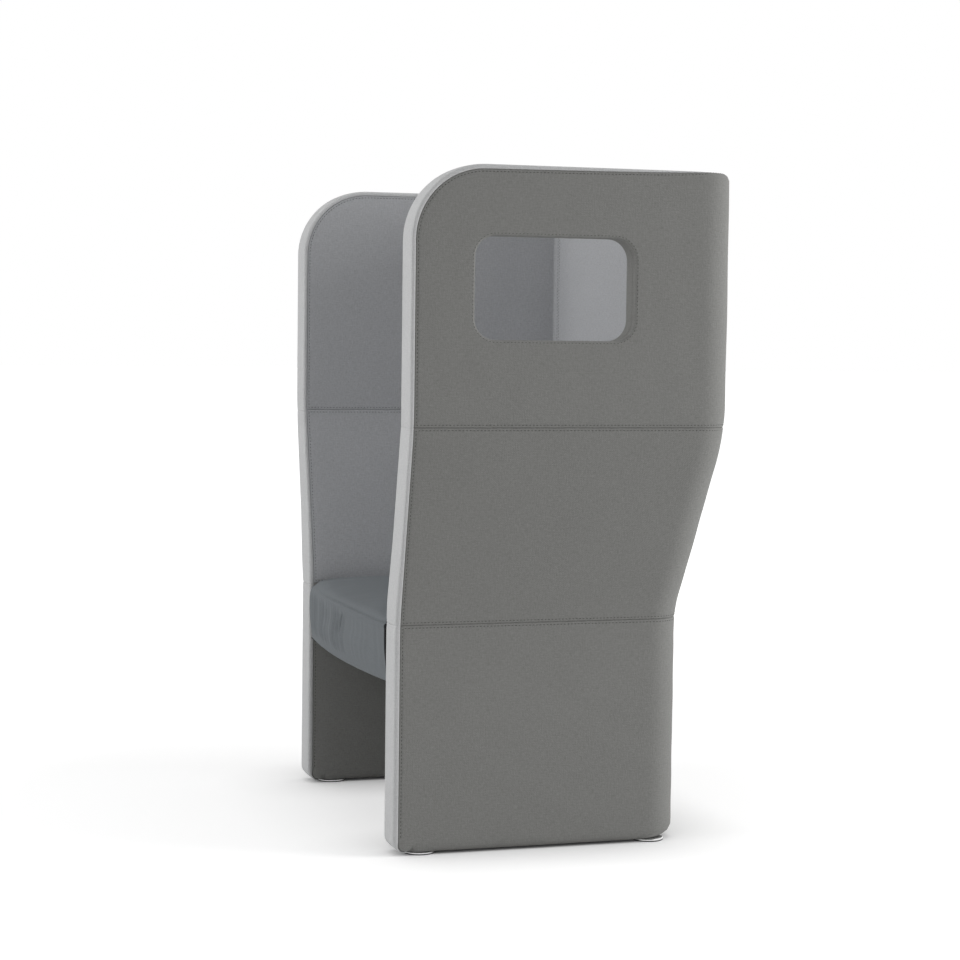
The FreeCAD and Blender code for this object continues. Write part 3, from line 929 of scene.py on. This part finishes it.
def bandPoint(kind, spot, normal, share, depth, side):
    if kind == "side":
        y, z = spot[0] + normal[0] * depth, spot[1] + normal[1] * depth
        fadeLow, fadeHigh = band["swellFade"]
        low = min(max((fadeHigh - z) / (fadeHigh - fadeLow), 0.0), 1.0)
        y -= band["swell"] * low * normal[0] * (1 - min(max(depth, 0.0) / shell["setback"], 1.0))
        level = np.array([z])
        outer, inner = float(outerHalf(level)[0]), float(innerHalf(level)[0])
        return (side * (outer + (inner - outer) * share), y, z)
    half, back, radius = shell["halfHigh"], shell["backHigh"], shell["cornerRadius"]
    innerX, innerY = half - shell["wall"], back - shell["wall"]
    if kind == "corner":
        outer = (half - radius + radius * math.cos(spot), back - radius + radius * math.sin(spot))
        slide = spot / (math.pi / 2)
        inner = (innerX, back - radius + (innerY - back + radius) * min(1.0, 2 * slide))
        if slide > 0.5:
            inner = (innerX + (half - radius - innerX) * (2 * slide - 1), innerY)
    else:
        outer, inner = (spot, back), (spot, innerY)
    x = outer[0] + (inner[0] - outer[0]) * share
    y = outer[1] + (inner[1] - outer[1]) * share
    return (side * x, y, shell["topZ"] - depth)


def makeBands():
    stations = bandStations()
    heights = [s[1][1] if s[0] == "side" else None for s in stations]
    cuts = [min(range(len(stations)), key=lambda i: abs(heights[i] - fold) if heights[i] is not None
                and stations[i][2] == (1.0, 0.0) else 9.0) for fold in shell["outerFolds"]]
    spans = {"lower": (0, cuts[0]), "middle": (cuts[0], cuts[1]), "upper": (cuts[1], len(stations) - 1)}
    for sideName, side in sides.items():
        for tier, (start, end) in spans.items():
            piece = makeBand(f"edgeBand_{sideName}_{tier}", side, start, end, stations, tier != "lower", True)
            finishPiece(piece, [f"{sideName}_edge_band_{tier}"])


makeBands()
print("edge bands made")


# Lining of the window: a sleeve whose outer rim meets the cover and whose inner edge rolls over

def makeSleeve(name, profile, material, nodes):
    plan = WallPlan(1.0, tierOuter["upper"][1])
    loop = windowLoop(plan, 0.0)
    fineLoop = []
    for start, end in zip(loop, np.roll(loop, -1, axis=0)):
        count = max(1, round(float(np.linalg.norm(end - start)) / cloth["sleeveStep"]))
        fineLoop += [start + (end - start) * i / count for i in range(count)]
    loop = np.array(fineLoop)
    points, uvs = [], []
    reach = 0.0
    for j, (depth, grow) in enumerate(profile):
        ring = offsetLoop(loop, grow)
        run = 0.0
        for k, (w, v) in enumerate(ring):
            points.append((shell["halfHigh"] - depth, shell["frontY"] + plan.reach - w, v))
            uvs.append((run, reach))
            run += float(np.linalg.norm(ring[(k + 1) % len(ring)] - ring[k]))
        if j + 1 < len(profile):
            reach += math.hypot(profile[j + 1][0] - depth, profile[j + 1][1] - grow)
    faces = gridFaces(len(profile), len(loop), True)
    a, b, c = (np.array(points[i]) for i in faces[len(loop) * 3][:3])
    centre = np.array([a[0], (window["front"] + window["rear"]) / 2, (window["sill"] + window["head"]) / 2])
    faces = turnFaces(faces, np.dot(np.cross(b - a, c - a), centre - a) < 0)
    piece = meshObject(name, points, faces, uvs, material)
    thicken(piece, cloth["thickness"])
    finishPiece(piece, nodes)


# The outer rim goes a little way in, the lining from there and over the inner edge
def makeWindowLining():
    roll, wall, deep = window["innerRound"], shell["wall"], window["seamDepth"]
    outer = [(0.0042, 0.0005), (0.0060, 0.0001), (0.0090, 0.0), (0.0120, 0.0), (deep - 0.0016, 0.0),
             (deep - 0.0006, 0.0004), (deep - 0.0002, 0.0012), (deep, 0.0026)]
    inner = [(deep + 0.0003, 0.0026), (deep + 0.0006, 0.0012), (deep + 0.0012, 0.0004), (deep + 0.0024, 0.0),
             (0.026, 0.0), (0.036, 0.0)]
    for i in range(0, 11):
        angle = math.pi / 2 * i / 10
        inner.append((wall - roll + roll * math.sin(angle), roll * (1 - math.cos(angle))))
    tucks = ((0.0004, 0.0010), (0.0016, 0.0017), (0.0032, 0.0020))
    inner += [(wall - back, roll + out) for back, out in tucks]
    makeSleeve("windowLining", inner, outerCloth, ["window_lining"])
    makeSleeve("windowRim", outer, outerCloth, None)


makeWindowLining()
print("window lining made")


# Stitches, laid by Geometry Nodes along every row

def stitchTree():
    tree = bpy.data.node_groups.new("stitchRow", "GeometryNodeTree")
    for label, kind, value in (("Geometry", "NodeSocketGeometry", None), ("Pitch", "NodeSocketFloat", 0.007),
                               ("Length", "NodeSocketFloat", 0.0045), ("Thread", "NodeSocketFloat", 0.0006),
                               ("Seed", "NodeSocketInt", 7), ("Material", "NodeSocketMaterial", None)):
        socket = tree.interface.new_socket(name=label, in_out="INPUT", socket_type=kind)
        if value is not None:
            socket.default_value = value
    tree.interface.new_socket(name="Geometry", in_out="OUTPUT", socket_type="NodeSocketGeometry")
    given, sink = tree.nodes.new("NodeGroupInput").outputs, tree.nodes.new("NodeGroupOutput")

    def chained(kind, inputs, **settings):
        return addNode(tree, kind, inputs, **settings).outputs[0]

    curve = chained("GeometryNodeMeshToCurve", {"Mesh": given["Geometry"]})
    dots = chained("GeometryNodeResampleCurve", {"Curve": curve, "Length": given["Pitch"]}, mode="LENGTH")
    tangent = chained("GeometryNodeInputTangent", {})
    alongRow = chained("FunctionNodeAlignRotationToVector", {"Vector": tangent}, axis="X")
    normal = addNode(tree, "GeometryNodeInputNamedAttribute", {"Name": "outwards"}, data_type="FLOAT_VECTOR")
    upright = chained("FunctionNodeAlignRotationToVector",
                      {"Rotation": alongRow, "Vector": normal.outputs["Attribute"]}, axis="Z", pivot_axis="X")
    uneven = addNode(tree, "FunctionNodeRandomValue", {2: 0.86, 3: 1.12, "Seed": given["Seed"]},
                     data_type="FLOAT")
    halfLength = mathNode(tree, "MULTIPLY", given["Length"], 0.5)
    reach = mathNode(tree, "MULTIPLY", halfLength, uneven.outputs[1])
    size = chained("ShaderNodeCombineXYZ", {0: reach, 1: given["Thread"], 2: given["Thread"]})
    thread = chained("GeometryNodeMeshUVSphere", {"Segments": 7, "Rings": 6, "Radius": 1.0})
    lying = chained("GeometryNodeTransform", {"Geometry": thread, "Rotation": (0.0, math.pi / 2, 0.0)})
    laid = chained("GeometryNodeInstanceOnPoints",
                   {"Points": dots, "Instance": lying, "Rotation": upright, "Scale": size})
    smooth = chained("GeometryNodeSetShadeSmooth", {0: chained("GeometryNodeRealizeInstances", {0: laid})})
    paint = chained("GeometryNodeSetMaterial", {"Geometry": smooth, "Material": given["Material"]})
    tree.links.new(paint, sink.inputs[0])
    return tree


rowTree = stitchTree()


def layStitches(name, rows, material):
    points, edges, normals = [], [], []
    for centre, outwards, closed in rows:
        start = len(points)
        count = len(centre)
        points.extend(map(tuple, centre))
        normals.extend(map(tuple, outwards))
        edges.extend((start + i, start + i + 1) for i in range(count - 1))
        if closed:
            edges.append((start + count - 1, start))
    mesh = bpy.data.meshes.new(name)
    mesh.from_pydata(points, edges, [])
    attribute = mesh.attributes.new("outwards", "FLOAT_VECTOR", "POINT")
    attribute.data.foreach_set("vector", np.array(normals, np.float32).ravel())
    piece = placeObject(name, mesh)
    modifier = piece.modifiers.new("stitches", "NODES")
    modifier.node_group = rowTree
    sockets = {item.name: item.identifier for item in rowTree.interface.items_tree if item.in_out == "INPUT"}
    for label in ("Pitch", "Length", "Thread"):
        modifier[sockets[label]] = stitch[label.lower()]
    modifier[sockets["Material"]] = material
    applyModifiers(piece)
    if "outwards" in piece.data.attributes:
        piece.data.attributes.remove(piece.data.attributes["outwards"])
    finishPiece(piece, None)


layStitches("outerStitches", stitchRows["outer"], outerThreadShaded)
layStitches("innerStitches", stitchRows["inner"], innerThreadShaded)
print("stitches laid")


# Seat cushion: a soft box between the wings with a crown, a bow front and the pulls of its cover

seatLow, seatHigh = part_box("seat_cover")
cushion = {
    "half": seatHigh.x - 0.0004,
    "front": seatLow.y + 0.0010,
    "rear": seatHigh.y - 0.0004,
    "base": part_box("seat_liner")[1].z,
    "top": 0.4465,  # height of the top at its edges, before the crown
    "crown": 0.0125,
    "bow": 0.0200,  # the ends of the front lie this far behind its middle
    "belly": 0.0115,  # and its foot this far behind its fullest line
    "fullest": 0.62,
    "step": 0.0140,
    "roundTop": (0.018, 0.038),  # crisp at the left end, softer towards the right one
    "roundBase": 0.005,
    "roundEnd": (0.006, 0.012),  # upright corner at the left end and at the right one
    "foldX": 0.055,
    "seamZ": 0.4385,
}


# The cushion's ends, against the wings, are coloured near black below the top seam
def blackenEnds(material):
    tree = material.node_tree
    colour = tree.nodes["Principled BSDF"].inputs["Base Color"]
    x, _, z = addNode(tree, "ShaderNodeSeparateXYZ", {0: coordinates(tree, "Object")}).outputs
    half, level = cushion["half"], cushion["seamZ"] - 0.004
    atEnd = mapRange(tree, mathNode(tree, "ABSOLUTE", x), (half - 0.0090, half - 0.0074))
    below = mapRange(tree, z, (level + 0.002, level))
    blackened = mathNode(tree, "MULTIPLY", atEnd, below)
    tree.links.new(mixColour(tree, blackened, colour.links[0].from_socket, (0.012, 0.012, 0.013, 1.0)), colour)


blackenEnds(seatCloth)


# Steps along one side of the box, closer together at its two ends
def boxSteps(low, high, close):
    middle = np.linspace(low + close[-1], high - close[-1], max(2, round((high - low) / cushion["step"])))
    return np.concatenate([[low + c for c in close[:-1]], middle, [high - c for c in reversed(close[:-1])]])


def cushionBox():
    half, front, rear, low = cushion["half"], cushion["front"], cushion["rear"], cushion["base"]
    close = (0.0, 0.004, 0.009, 0.016, 0.026)
    lines = (boxSteps(-half, half, close), boxSteps(front, rear, close), boxSteps(low, cushion["top"], close))
    counts = [len(line) - 1 for line in lines]
    index, points, faces = {}, [], []

    def corner(key):
        if key not in index:
            index[key] = len(points)
            points.append([line[k] for line, k in zip(lines, key)])
        return index[key]

    for axis in range(3):
        a, b = [n for n in range(3) if n != axis]
        for layer in (0, counts[axis]):
            flip = (layer == 0) != (axis == 1)
            for p in range(counts[a]):
                for q in range(counts[b]):
                    ring = []
                    for dp, dq in ((0, 0), (1, 0), (1, 1), (0, 1)):
                        key = [0, 0, 0]
                        key[axis], key[a], key[b] = layer, p + dp, q + dq
                        ring.append(corner(tuple(key)))
                    faces.append((tuple(reversed(ring)) if flip else tuple(ring), (a, b)))
    return np.array(points), faces


def smoothStep(value, low, high):
    share = np.clip((value - low) / (high - low), 0.0, 1.0)
    return share * share * (3 - 2 * share)


def roundedSeat(points):
    half, front, rear, low, high = (cushion[k] for k in ("half", "front", "rear", "base", "top"))
    rise = np.clip((points[:, 2] - low) / (high - low), 0.0, 1.0)
    depth = (points[:, 1] - front) / (rear - front)
    crisp, soft = cushion["roundTop"]
    softer = smoothStep(-points[:, 0], 0.02, 0.31) * (1 - smoothStep(depth, 0.04, 0.30))
    roundTop = crisp + (soft - crisp) * softer
    radius = cushion["roundBase"] + (roundTop - cushion["roundBase"]) * rise ** 2
    radius = radius * (1 - 0.6 * smoothStep(depth, 0.75, 1.0))
    sideRadius = 0.35 * radius
    lowCorner = np.stack([-half + sideRadius, front + radius, low + radius], -1)
    highCorner = np.stack([half - sideRadius, rear - radius, high - radius], -1)
    inner = np.clip(points, lowCorner, highCorner)
    scale = np.stack([sideRadius, radius, radius], -1)
    way = (points - inner) / scale
    length = np.linalg.norm(way, axis=1)
    length[length == 0] = 1.0
    placed = inner + way / length[:, None] * scale
    across = placed[:, 0] / half
    depth = np.clip((placed[:, 1] - front) / (rear - front), 0.0, 1.0)
    fade = (1 - depth) ** 2
    roundEnd = np.where(placed[:, 0] > 0, *cushion["roundEnd"])
    turn = np.clip(np.abs(placed[:, 0]) - (half - roundEnd), 0.0, roundEnd)
    endDraw = roundEnd - np.sqrt(np.maximum(roundEnd ** 2 - turn ** 2, 0.0))
    foot = np.clip((cushion["fullest"] - rise) / cushion["fullest"], 0.0, 1.0)
    placed[:, 1] += (cushion["bow"] * across ** 2 + endDraw + cushion["belly"] * foot ** 2) * fade
    crown = cushion["crown"] * (1 - across ** 8) * np.sin(np.clip(0.10 + 0.80 * depth, 0, 1) * math.pi) ** 0.8
    placed[:, 2] += crown * rise ** 3
    return placed


def setUv(mesh, points, faces):
    layer = mesh.uv_layers.new(name="cloth")
    values = []
    for ring, (a, b) in faces:
        for i in ring:
            values.extend((points[i][a], points[i][b]))
    layer.data.foreach_set("uv", values)


# Soft billow from a short pressure simulation, held at the base and the rear
def billow(piece, limit=0.004):
    start = np.array([v.co for v in piece.data.vertices])
    group = piece.vertex_groups.new(name="held")
    held = [v.index for v in piece.data.vertices
            if v.co.z < cushion["base"] + 0.012 or v.co.y > cushion["rear"] - 0.004]
    group.add(held, 1.0, "REPLACE")
    modifier = piece.modifiers.new("billow", "CLOTH")
    settings = modifier.settings
    settings.quality = 6
    settings.mass = 0.3
    settings.use_pressure = True
    settings.uniform_pressure_force = 2.0
    settings.tension_stiffness = 40.0
    settings.compression_stiffness = 40.0
    settings.shear_stiffness = 12.0
    settings.bending_stiffness = 4.0
    settings.vertex_group_mass = "held"
    settings.effector_weights.gravity = 0.0
    modifier.collision_settings.use_collision = False
    modifier.point_cache.frame_start = 1
    modifier.point_cache.frame_end = 20
    for number in range(1, 21):
        bpy.context.scene.frame_set(number)
    graph = bpy.context.evaluated_depsgraph_get()
    moved = np.array([v.co for v in piece.evaluated_get(graph).data.vertices])
    piece.modifiers.clear()
    bpy.context.scene.frame_set(1)
    shift = moved - start
    length = np.linalg.norm(shift, axis=1)
    allowed = limit * np.tanh(length / limit)
    length[length == 0] = 1.0
    final = start + shift * (allowed / length)[:, None]
    piece.data.vertices.foreach_set("co", final.astype(np.float32).ravel())
    piece.data.update()
    print("cushion billow, largest move", round(float(allowed.max()) * 1000, 2), "mm")


pulls = {
    "ripple": 0.0022,
    "pitch": (0.0245, 0.031),  # from one ripple to the next, right of the folds and left of them
    "calm": 0.16,  # the ripples left of the folds, as a part of the others
    # the folds: place beside foldX, depth, width, and the heights between which each one runs
    "folds": ((0.0, 0.0062, 0.0046, 0.335, 0.428), (-0.021, 0.0042, 0.0038, 0.372, 0.424),
              (-0.046, 0.0030, 0.0040, 0.350, 0.416)),
    "lip": 0.0014,
}


# Pulls of the cover on the front face, the top seam and the rolled lower edge
def seatPulls(points, normals):
    x, z = points[:, 0], points[:, 2]
    low, fold = cushion["base"], cushion["foldX"]
    front = smoothStep(-normals[:, 1], 0.25, 0.75)
    height = smoothStep(z, low + 0.010, low + 0.040) * (1 - smoothStep(z, 0.408, 0.434))
    farPart = 1 - smoothStep(x, fold - 0.010, fold + 0.03)
    lean = x + 0.10 * (z - 0.38)
    phase = 1.7 * np.sin(lean * 37.0) + 0.9 * np.sin(lean * 91.0) + 0.6 * np.sin(lean * 23.0 + 30.0 * z)
    wide, calm = pulls["pitch"]
    ripple = np.sin(lean * 2 * math.pi / wide + phase) * (0.65 + 0.35 * np.sin(lean * 51.0 + 1.0)) * farPart
    ripple += pulls["calm"] * np.sin(lean * 2 * math.pi / calm + phase) * (1 - farPart)
    move = pulls["ripple"] * ripple * height * front
    for place, depth, width, foot, head in pulls["folds"]:
        line = x - fold - place - 2.2 * (z - 0.385) ** 2
        tall = smoothStep(z, foot, foot + 0.030) * (1 - smoothStep(z, head - 0.022, head))
        move -= depth * np.exp(-(line / width) ** 2) * tall * front
        move += 0.55 * depth * np.exp(-((line - 2.6 * width) / (1.6 * width)) ** 2) * tall * front
    lip = np.exp(-((z - low - 0.0045) / 0.0030) ** 2)
    move += pulls["lip"] * lip * smoothStep(-normals[:, 1], 0.1, 0.6)
    bent = cushion["seamZ"] - 0.0045 * smoothStep(x, 0.08, 0.32)
    strength = smoothStep(x, -0.26, 0.02)
    line = z - bent
    atFront = smoothStep(-normals[:, 1], 0.06, 0.22)
    move -= (0.0004 + 0.0020 * strength) * np.exp(-(line / 0.0022) ** 2) * atFront
    move += 0.0011 * strength * np.exp(-((line + 0.0065) / 0.0045) ** 2) * atFront
    return move


def makeSeatCushion():
    points, faces = cushionBox()
    placed = roundedSeat(points)
    mesh = bpy.data.meshes.new("seatCushion")
    mesh.from_pydata([tuple(p) for p in placed], [], [ring for ring, _ in faces])
    setUv(mesh, points, faces)
    mesh.materials.append(seatCloth)
    piece = placeObject("seatCushion", mesh)
    billow(piece)
    smooth = piece.modifiers.new("smooth", "SUBSURF")
    smooth.levels = smooth.render_levels = 3
    smooth.uv_smooth = "NONE"
    applyModifiers(piece)
    mesh = piece.data
    mesh.polygons.foreach_set("use_smooth", [True] * len(mesh.polygons))
    mesh.update()
    place = np.array([v.co for v in mesh.vertices])
    normals = np.array([v.normal for v in mesh.vertices])
    place = place + normals * seatPulls(place, normals)[:, None]
    place[:, 0] = np.clip(place[:, 0], -cushion["half"], cushion["half"])
    place[:, 1] = np.minimum(place[:, 1], cushion["rear"])
    place[:, 2] = np.maximum(place[:, 2], cushion["base"])
    mesh.vertices.foreach_set("co", place.astype(np.float32).ravel())
    mesh.update()
    finishPiece(piece, ["seat_foam", "seat_cover"])


makeSeatCushion()
print("seat cushion made")


# Black lining under the seat, a sheet that sags a little between its staples

lining = {"step": 0.016, "sag": 0.0022, "thickness": 0.0008}


def makeSeatLining():
    low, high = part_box("seat_liner")
    spans = (high.x - low.x, high.y - low.y)
    counts = [round(span / lining["step"]) for span in spans]
    points, uvs = [], []
    for j in range(counts[1] + 1):
        for i in range(counts[0] + 1):
            u, v = i / counts[0], j / counts[1]
            sag = lining["sag"] * math.sin(math.pi * u) ** 0.5 * math.sin(math.pi * v) ** 0.5
            ripple = 0.0003 * math.sin(18 * u + 3 * v) * math.sin(15 * v) * math.sin(math.pi * v)
            x, y = spans[0] * u, spans[1] * v
            points.append((low.x + x, low.y + y, high.z - 0.0002 - sag * 0.6 + ripple))
            uvs.append((x, y))
    faces = [(a, d, c, b) for a, b, c, d in gridFaces(counts[1] + 1, counts[0] + 1, False)]
    piece = meshObject("seatLining", points, faces, uvs, linerCloth)
    thicken(piece, lining["thickness"])
    finishPiece(piece, ["seat_liner"])


makeSeatLining()


# Black strip under the walls, from the outer cover's hem to the inner one's
def makeBaseLining():
    level = shell["baseZ"]
    shares = []
    for part, count in ((0, 40), (1, 12), (2, 30)):
        shares += [(part, i / count) for i in range(count)]
    shares.append((2, 1.0))
    rows = []
    for plan in (WallPlan(1.0, level), WallPlan(-1.0, level)):
        places = (plan.reach - shell["baseFront"], plan.halfRun + plan.turn, plan.halfRun, 0.0)
        w = np.array([places[part] + (places[part + 1] - places[part]) * share for part, share in shares])
        w = np.concatenate([w, -w[-2::-1]])
        rows.append(plan.point(w, level - underEdge * 0.8, -0.0012))
    across = 5
    points, uvs = [], []
    for a, b in zip(*rows):
        for j in range(across + 1):
            spot = a + (b - a) * j / across
            points.append((spot[0], spot[1], level + 0.0012))
            uvs.append((spot[0], spot[1]))
    faces = [(a, d, c, b) for a, b, c, d in gridFaces(len(rows[0]), across + 1, False)]
    a, b, c = (np.array(points[i]) for i in faces[0][:3])
    faces = turnFaces(faces, np.cross(b - a, c - a)[2] > 0)
    piece = meshObject("baseLining", points, faces, uvs, linerCloth)
    thicken(piece, lining["thickness"])
    finishPiece(piece, ["base_liner"])


makeBaseLining()
print("linings made")


# Floor, backdrop, light and camera

def stagePlane():
    mesh = bpy.data.meshes.new("floor")
    reach = 60.0
    corners = [(-reach, -reach, 0), (reach, -reach, 0), (reach, reach, 0), (-reach, reach, 0)]
    mesh.from_pydata(corners, [], [(0, 1, 2, 3)])
    floor = placeObject("floor", mesh)
    material = bpy.data.materials.new("paleFloor")
    material.use_nodes = True
    tree = material.node_tree
    tree.nodes.clear()
    away = addNode(tree, "ShaderNodeVectorMath", {0: coordinates(tree, "Object")}, operation="LENGTH")
    spread = mapRange(tree, away.outputs["Value"], *zip(lights["glowNear"], lights["glowFar"]))
    # Painted shade: ambient occlusion dims the floor's glow near the chair, a contact shadow drawn into the
    # floor's own light
    around = addNode(tree, "ShaderNodeAmbientOcclusion", {"Distance": lights["glowShade"]}, samples=12)
    clear = mathNode(tree, "POWER", around.outputs["AO"], 1.1)
    strength = mathNode(tree, "MULTIPLY", seenDirectly(tree, 1.0), mathNode(tree, "MULTIPLY", spread, clear))
    glow = addNode(tree, "ShaderNodeEmission", {"Strength": strength}).outputs[0]
    diffuse = addNode(tree, "ShaderNodeBsdfDiffuse", {"Color": (0.80, 0.80, 0.80, 1.0)}).outputs[0]
    both = addNode(tree, "ShaderNodeAddShader", {0: diffuse, 1: glow}).outputs[0]
    addNode(tree, "ShaderNodeOutputMaterial", {"Surface": both})
    mesh.materials.append(material)


# A strength for camera, glossy and transmission rays, and another for the light itself
def seenDirectly(tree, strength, otherwise=0.0):
    path = tree.nodes.new("ShaderNodeLightPath")
    seen = mathNode(tree, "MAXIMUM", path.outputs["Is Camera Ray"], path.outputs["Is Glossy Ray"])
    seen = mathNode(tree, "MAXIMUM", seen, path.outputs["Is Transmission Ray"])
    return mathNode(tree, "ADD", mathNode(tree, "MULTIPLY", seen, strength - otherwise), otherwise)


lights = {
    "ambient": 0.26,
    "glowNear": (1.0, 0.55),  # distance on the floor and glow there
    "glowFar": (3.5, 1.0),
    "glowShade": 0.20,  # painted shade: the floor's glow fades where something stands this close over it
    "front": {"place": (0.0, -4.2, 1.8), "size": 3.0, "power": 66.0},
    "frontSide": {"place": (3.2, -3.0, 1.9), "size": 2.4, "power": 13.0},
    "rear": {"place": (1.8, 4.2, 1.7), "size": 2.4, "power": 128.0},
    "top": {"place": (0.0, 0.0, 4.2), "size": 2.6, "power": 24.0},
}


def makeWorld():
    world = bpy.data.worlds.new("studio")
    bpy.context.scene.world = world
    world.use_nodes = True
    tree = world.node_tree
    background = tree.nodes["Background"]
    background.inputs["Color"].default_value = (1.0, 1.0, 1.0, 1.0)
    tree.links.new(seenDirectly(tree, 1.0, lights["ambient"]), background.inputs["Strength"])


def makeLamp(name, settings):
    lamp = bpy.data.lights.new(name, "AREA")
    lamp.shape = "SQUARE"
    lamp.size = settings["size"]
    lamp.energy = settings["power"]
    stand = placeObject(name, lamp)
    place = Vector(settings["place"])
    stand.location = place
    stand.rotation_euler = (Vector((0.0, 0.0, 0.7)) - place).to_track_quat("-Z", "Y").to_euler()


camera = {"place": (4.4334, -1.3948, 0.9776), "azimuth": 72.852, "down": 3.636, "roll": 0.697, "lens": 84.58}


def makeCamera():
    a, e, r = (math.radians(camera[k]) for k in ("azimuth", "down", "roll"))
    back = Vector((math.sin(a) * math.cos(e), -math.cos(a) * math.cos(e), math.sin(e)))
    right = Vector((math.cos(a), math.sin(a), 0.0))
    up = back.cross(right)
    turnedRight = right * math.cos(r) + up * math.sin(r)
    turnedUp = -right * math.sin(r) + up * math.cos(r)
    data = bpy.data.cameras.new("camera")
    data.lens = camera["lens"]
    data.sensor_width = 36.0
    data.clip_end = 200.0
    eye = placeObject("camera", data)
    rows = [tuple(row) for row in zip(turnedRight, turnedUp, back, camera["place"])]
    eye.matrix_world = Matrix((*rows, (0.0, 0.0, 0.0, 1.0)))
    bpy.context.scene.camera = eye


stagePlane()
makeWorld()
for lampName in ("front", "frontSide", "rear", "top"):
    makeLamp(lampName + "Light", lights[lampName])
makeCamera()
bpy.context.scene.view_settings.view_transform = "Standard"
print("stage made")
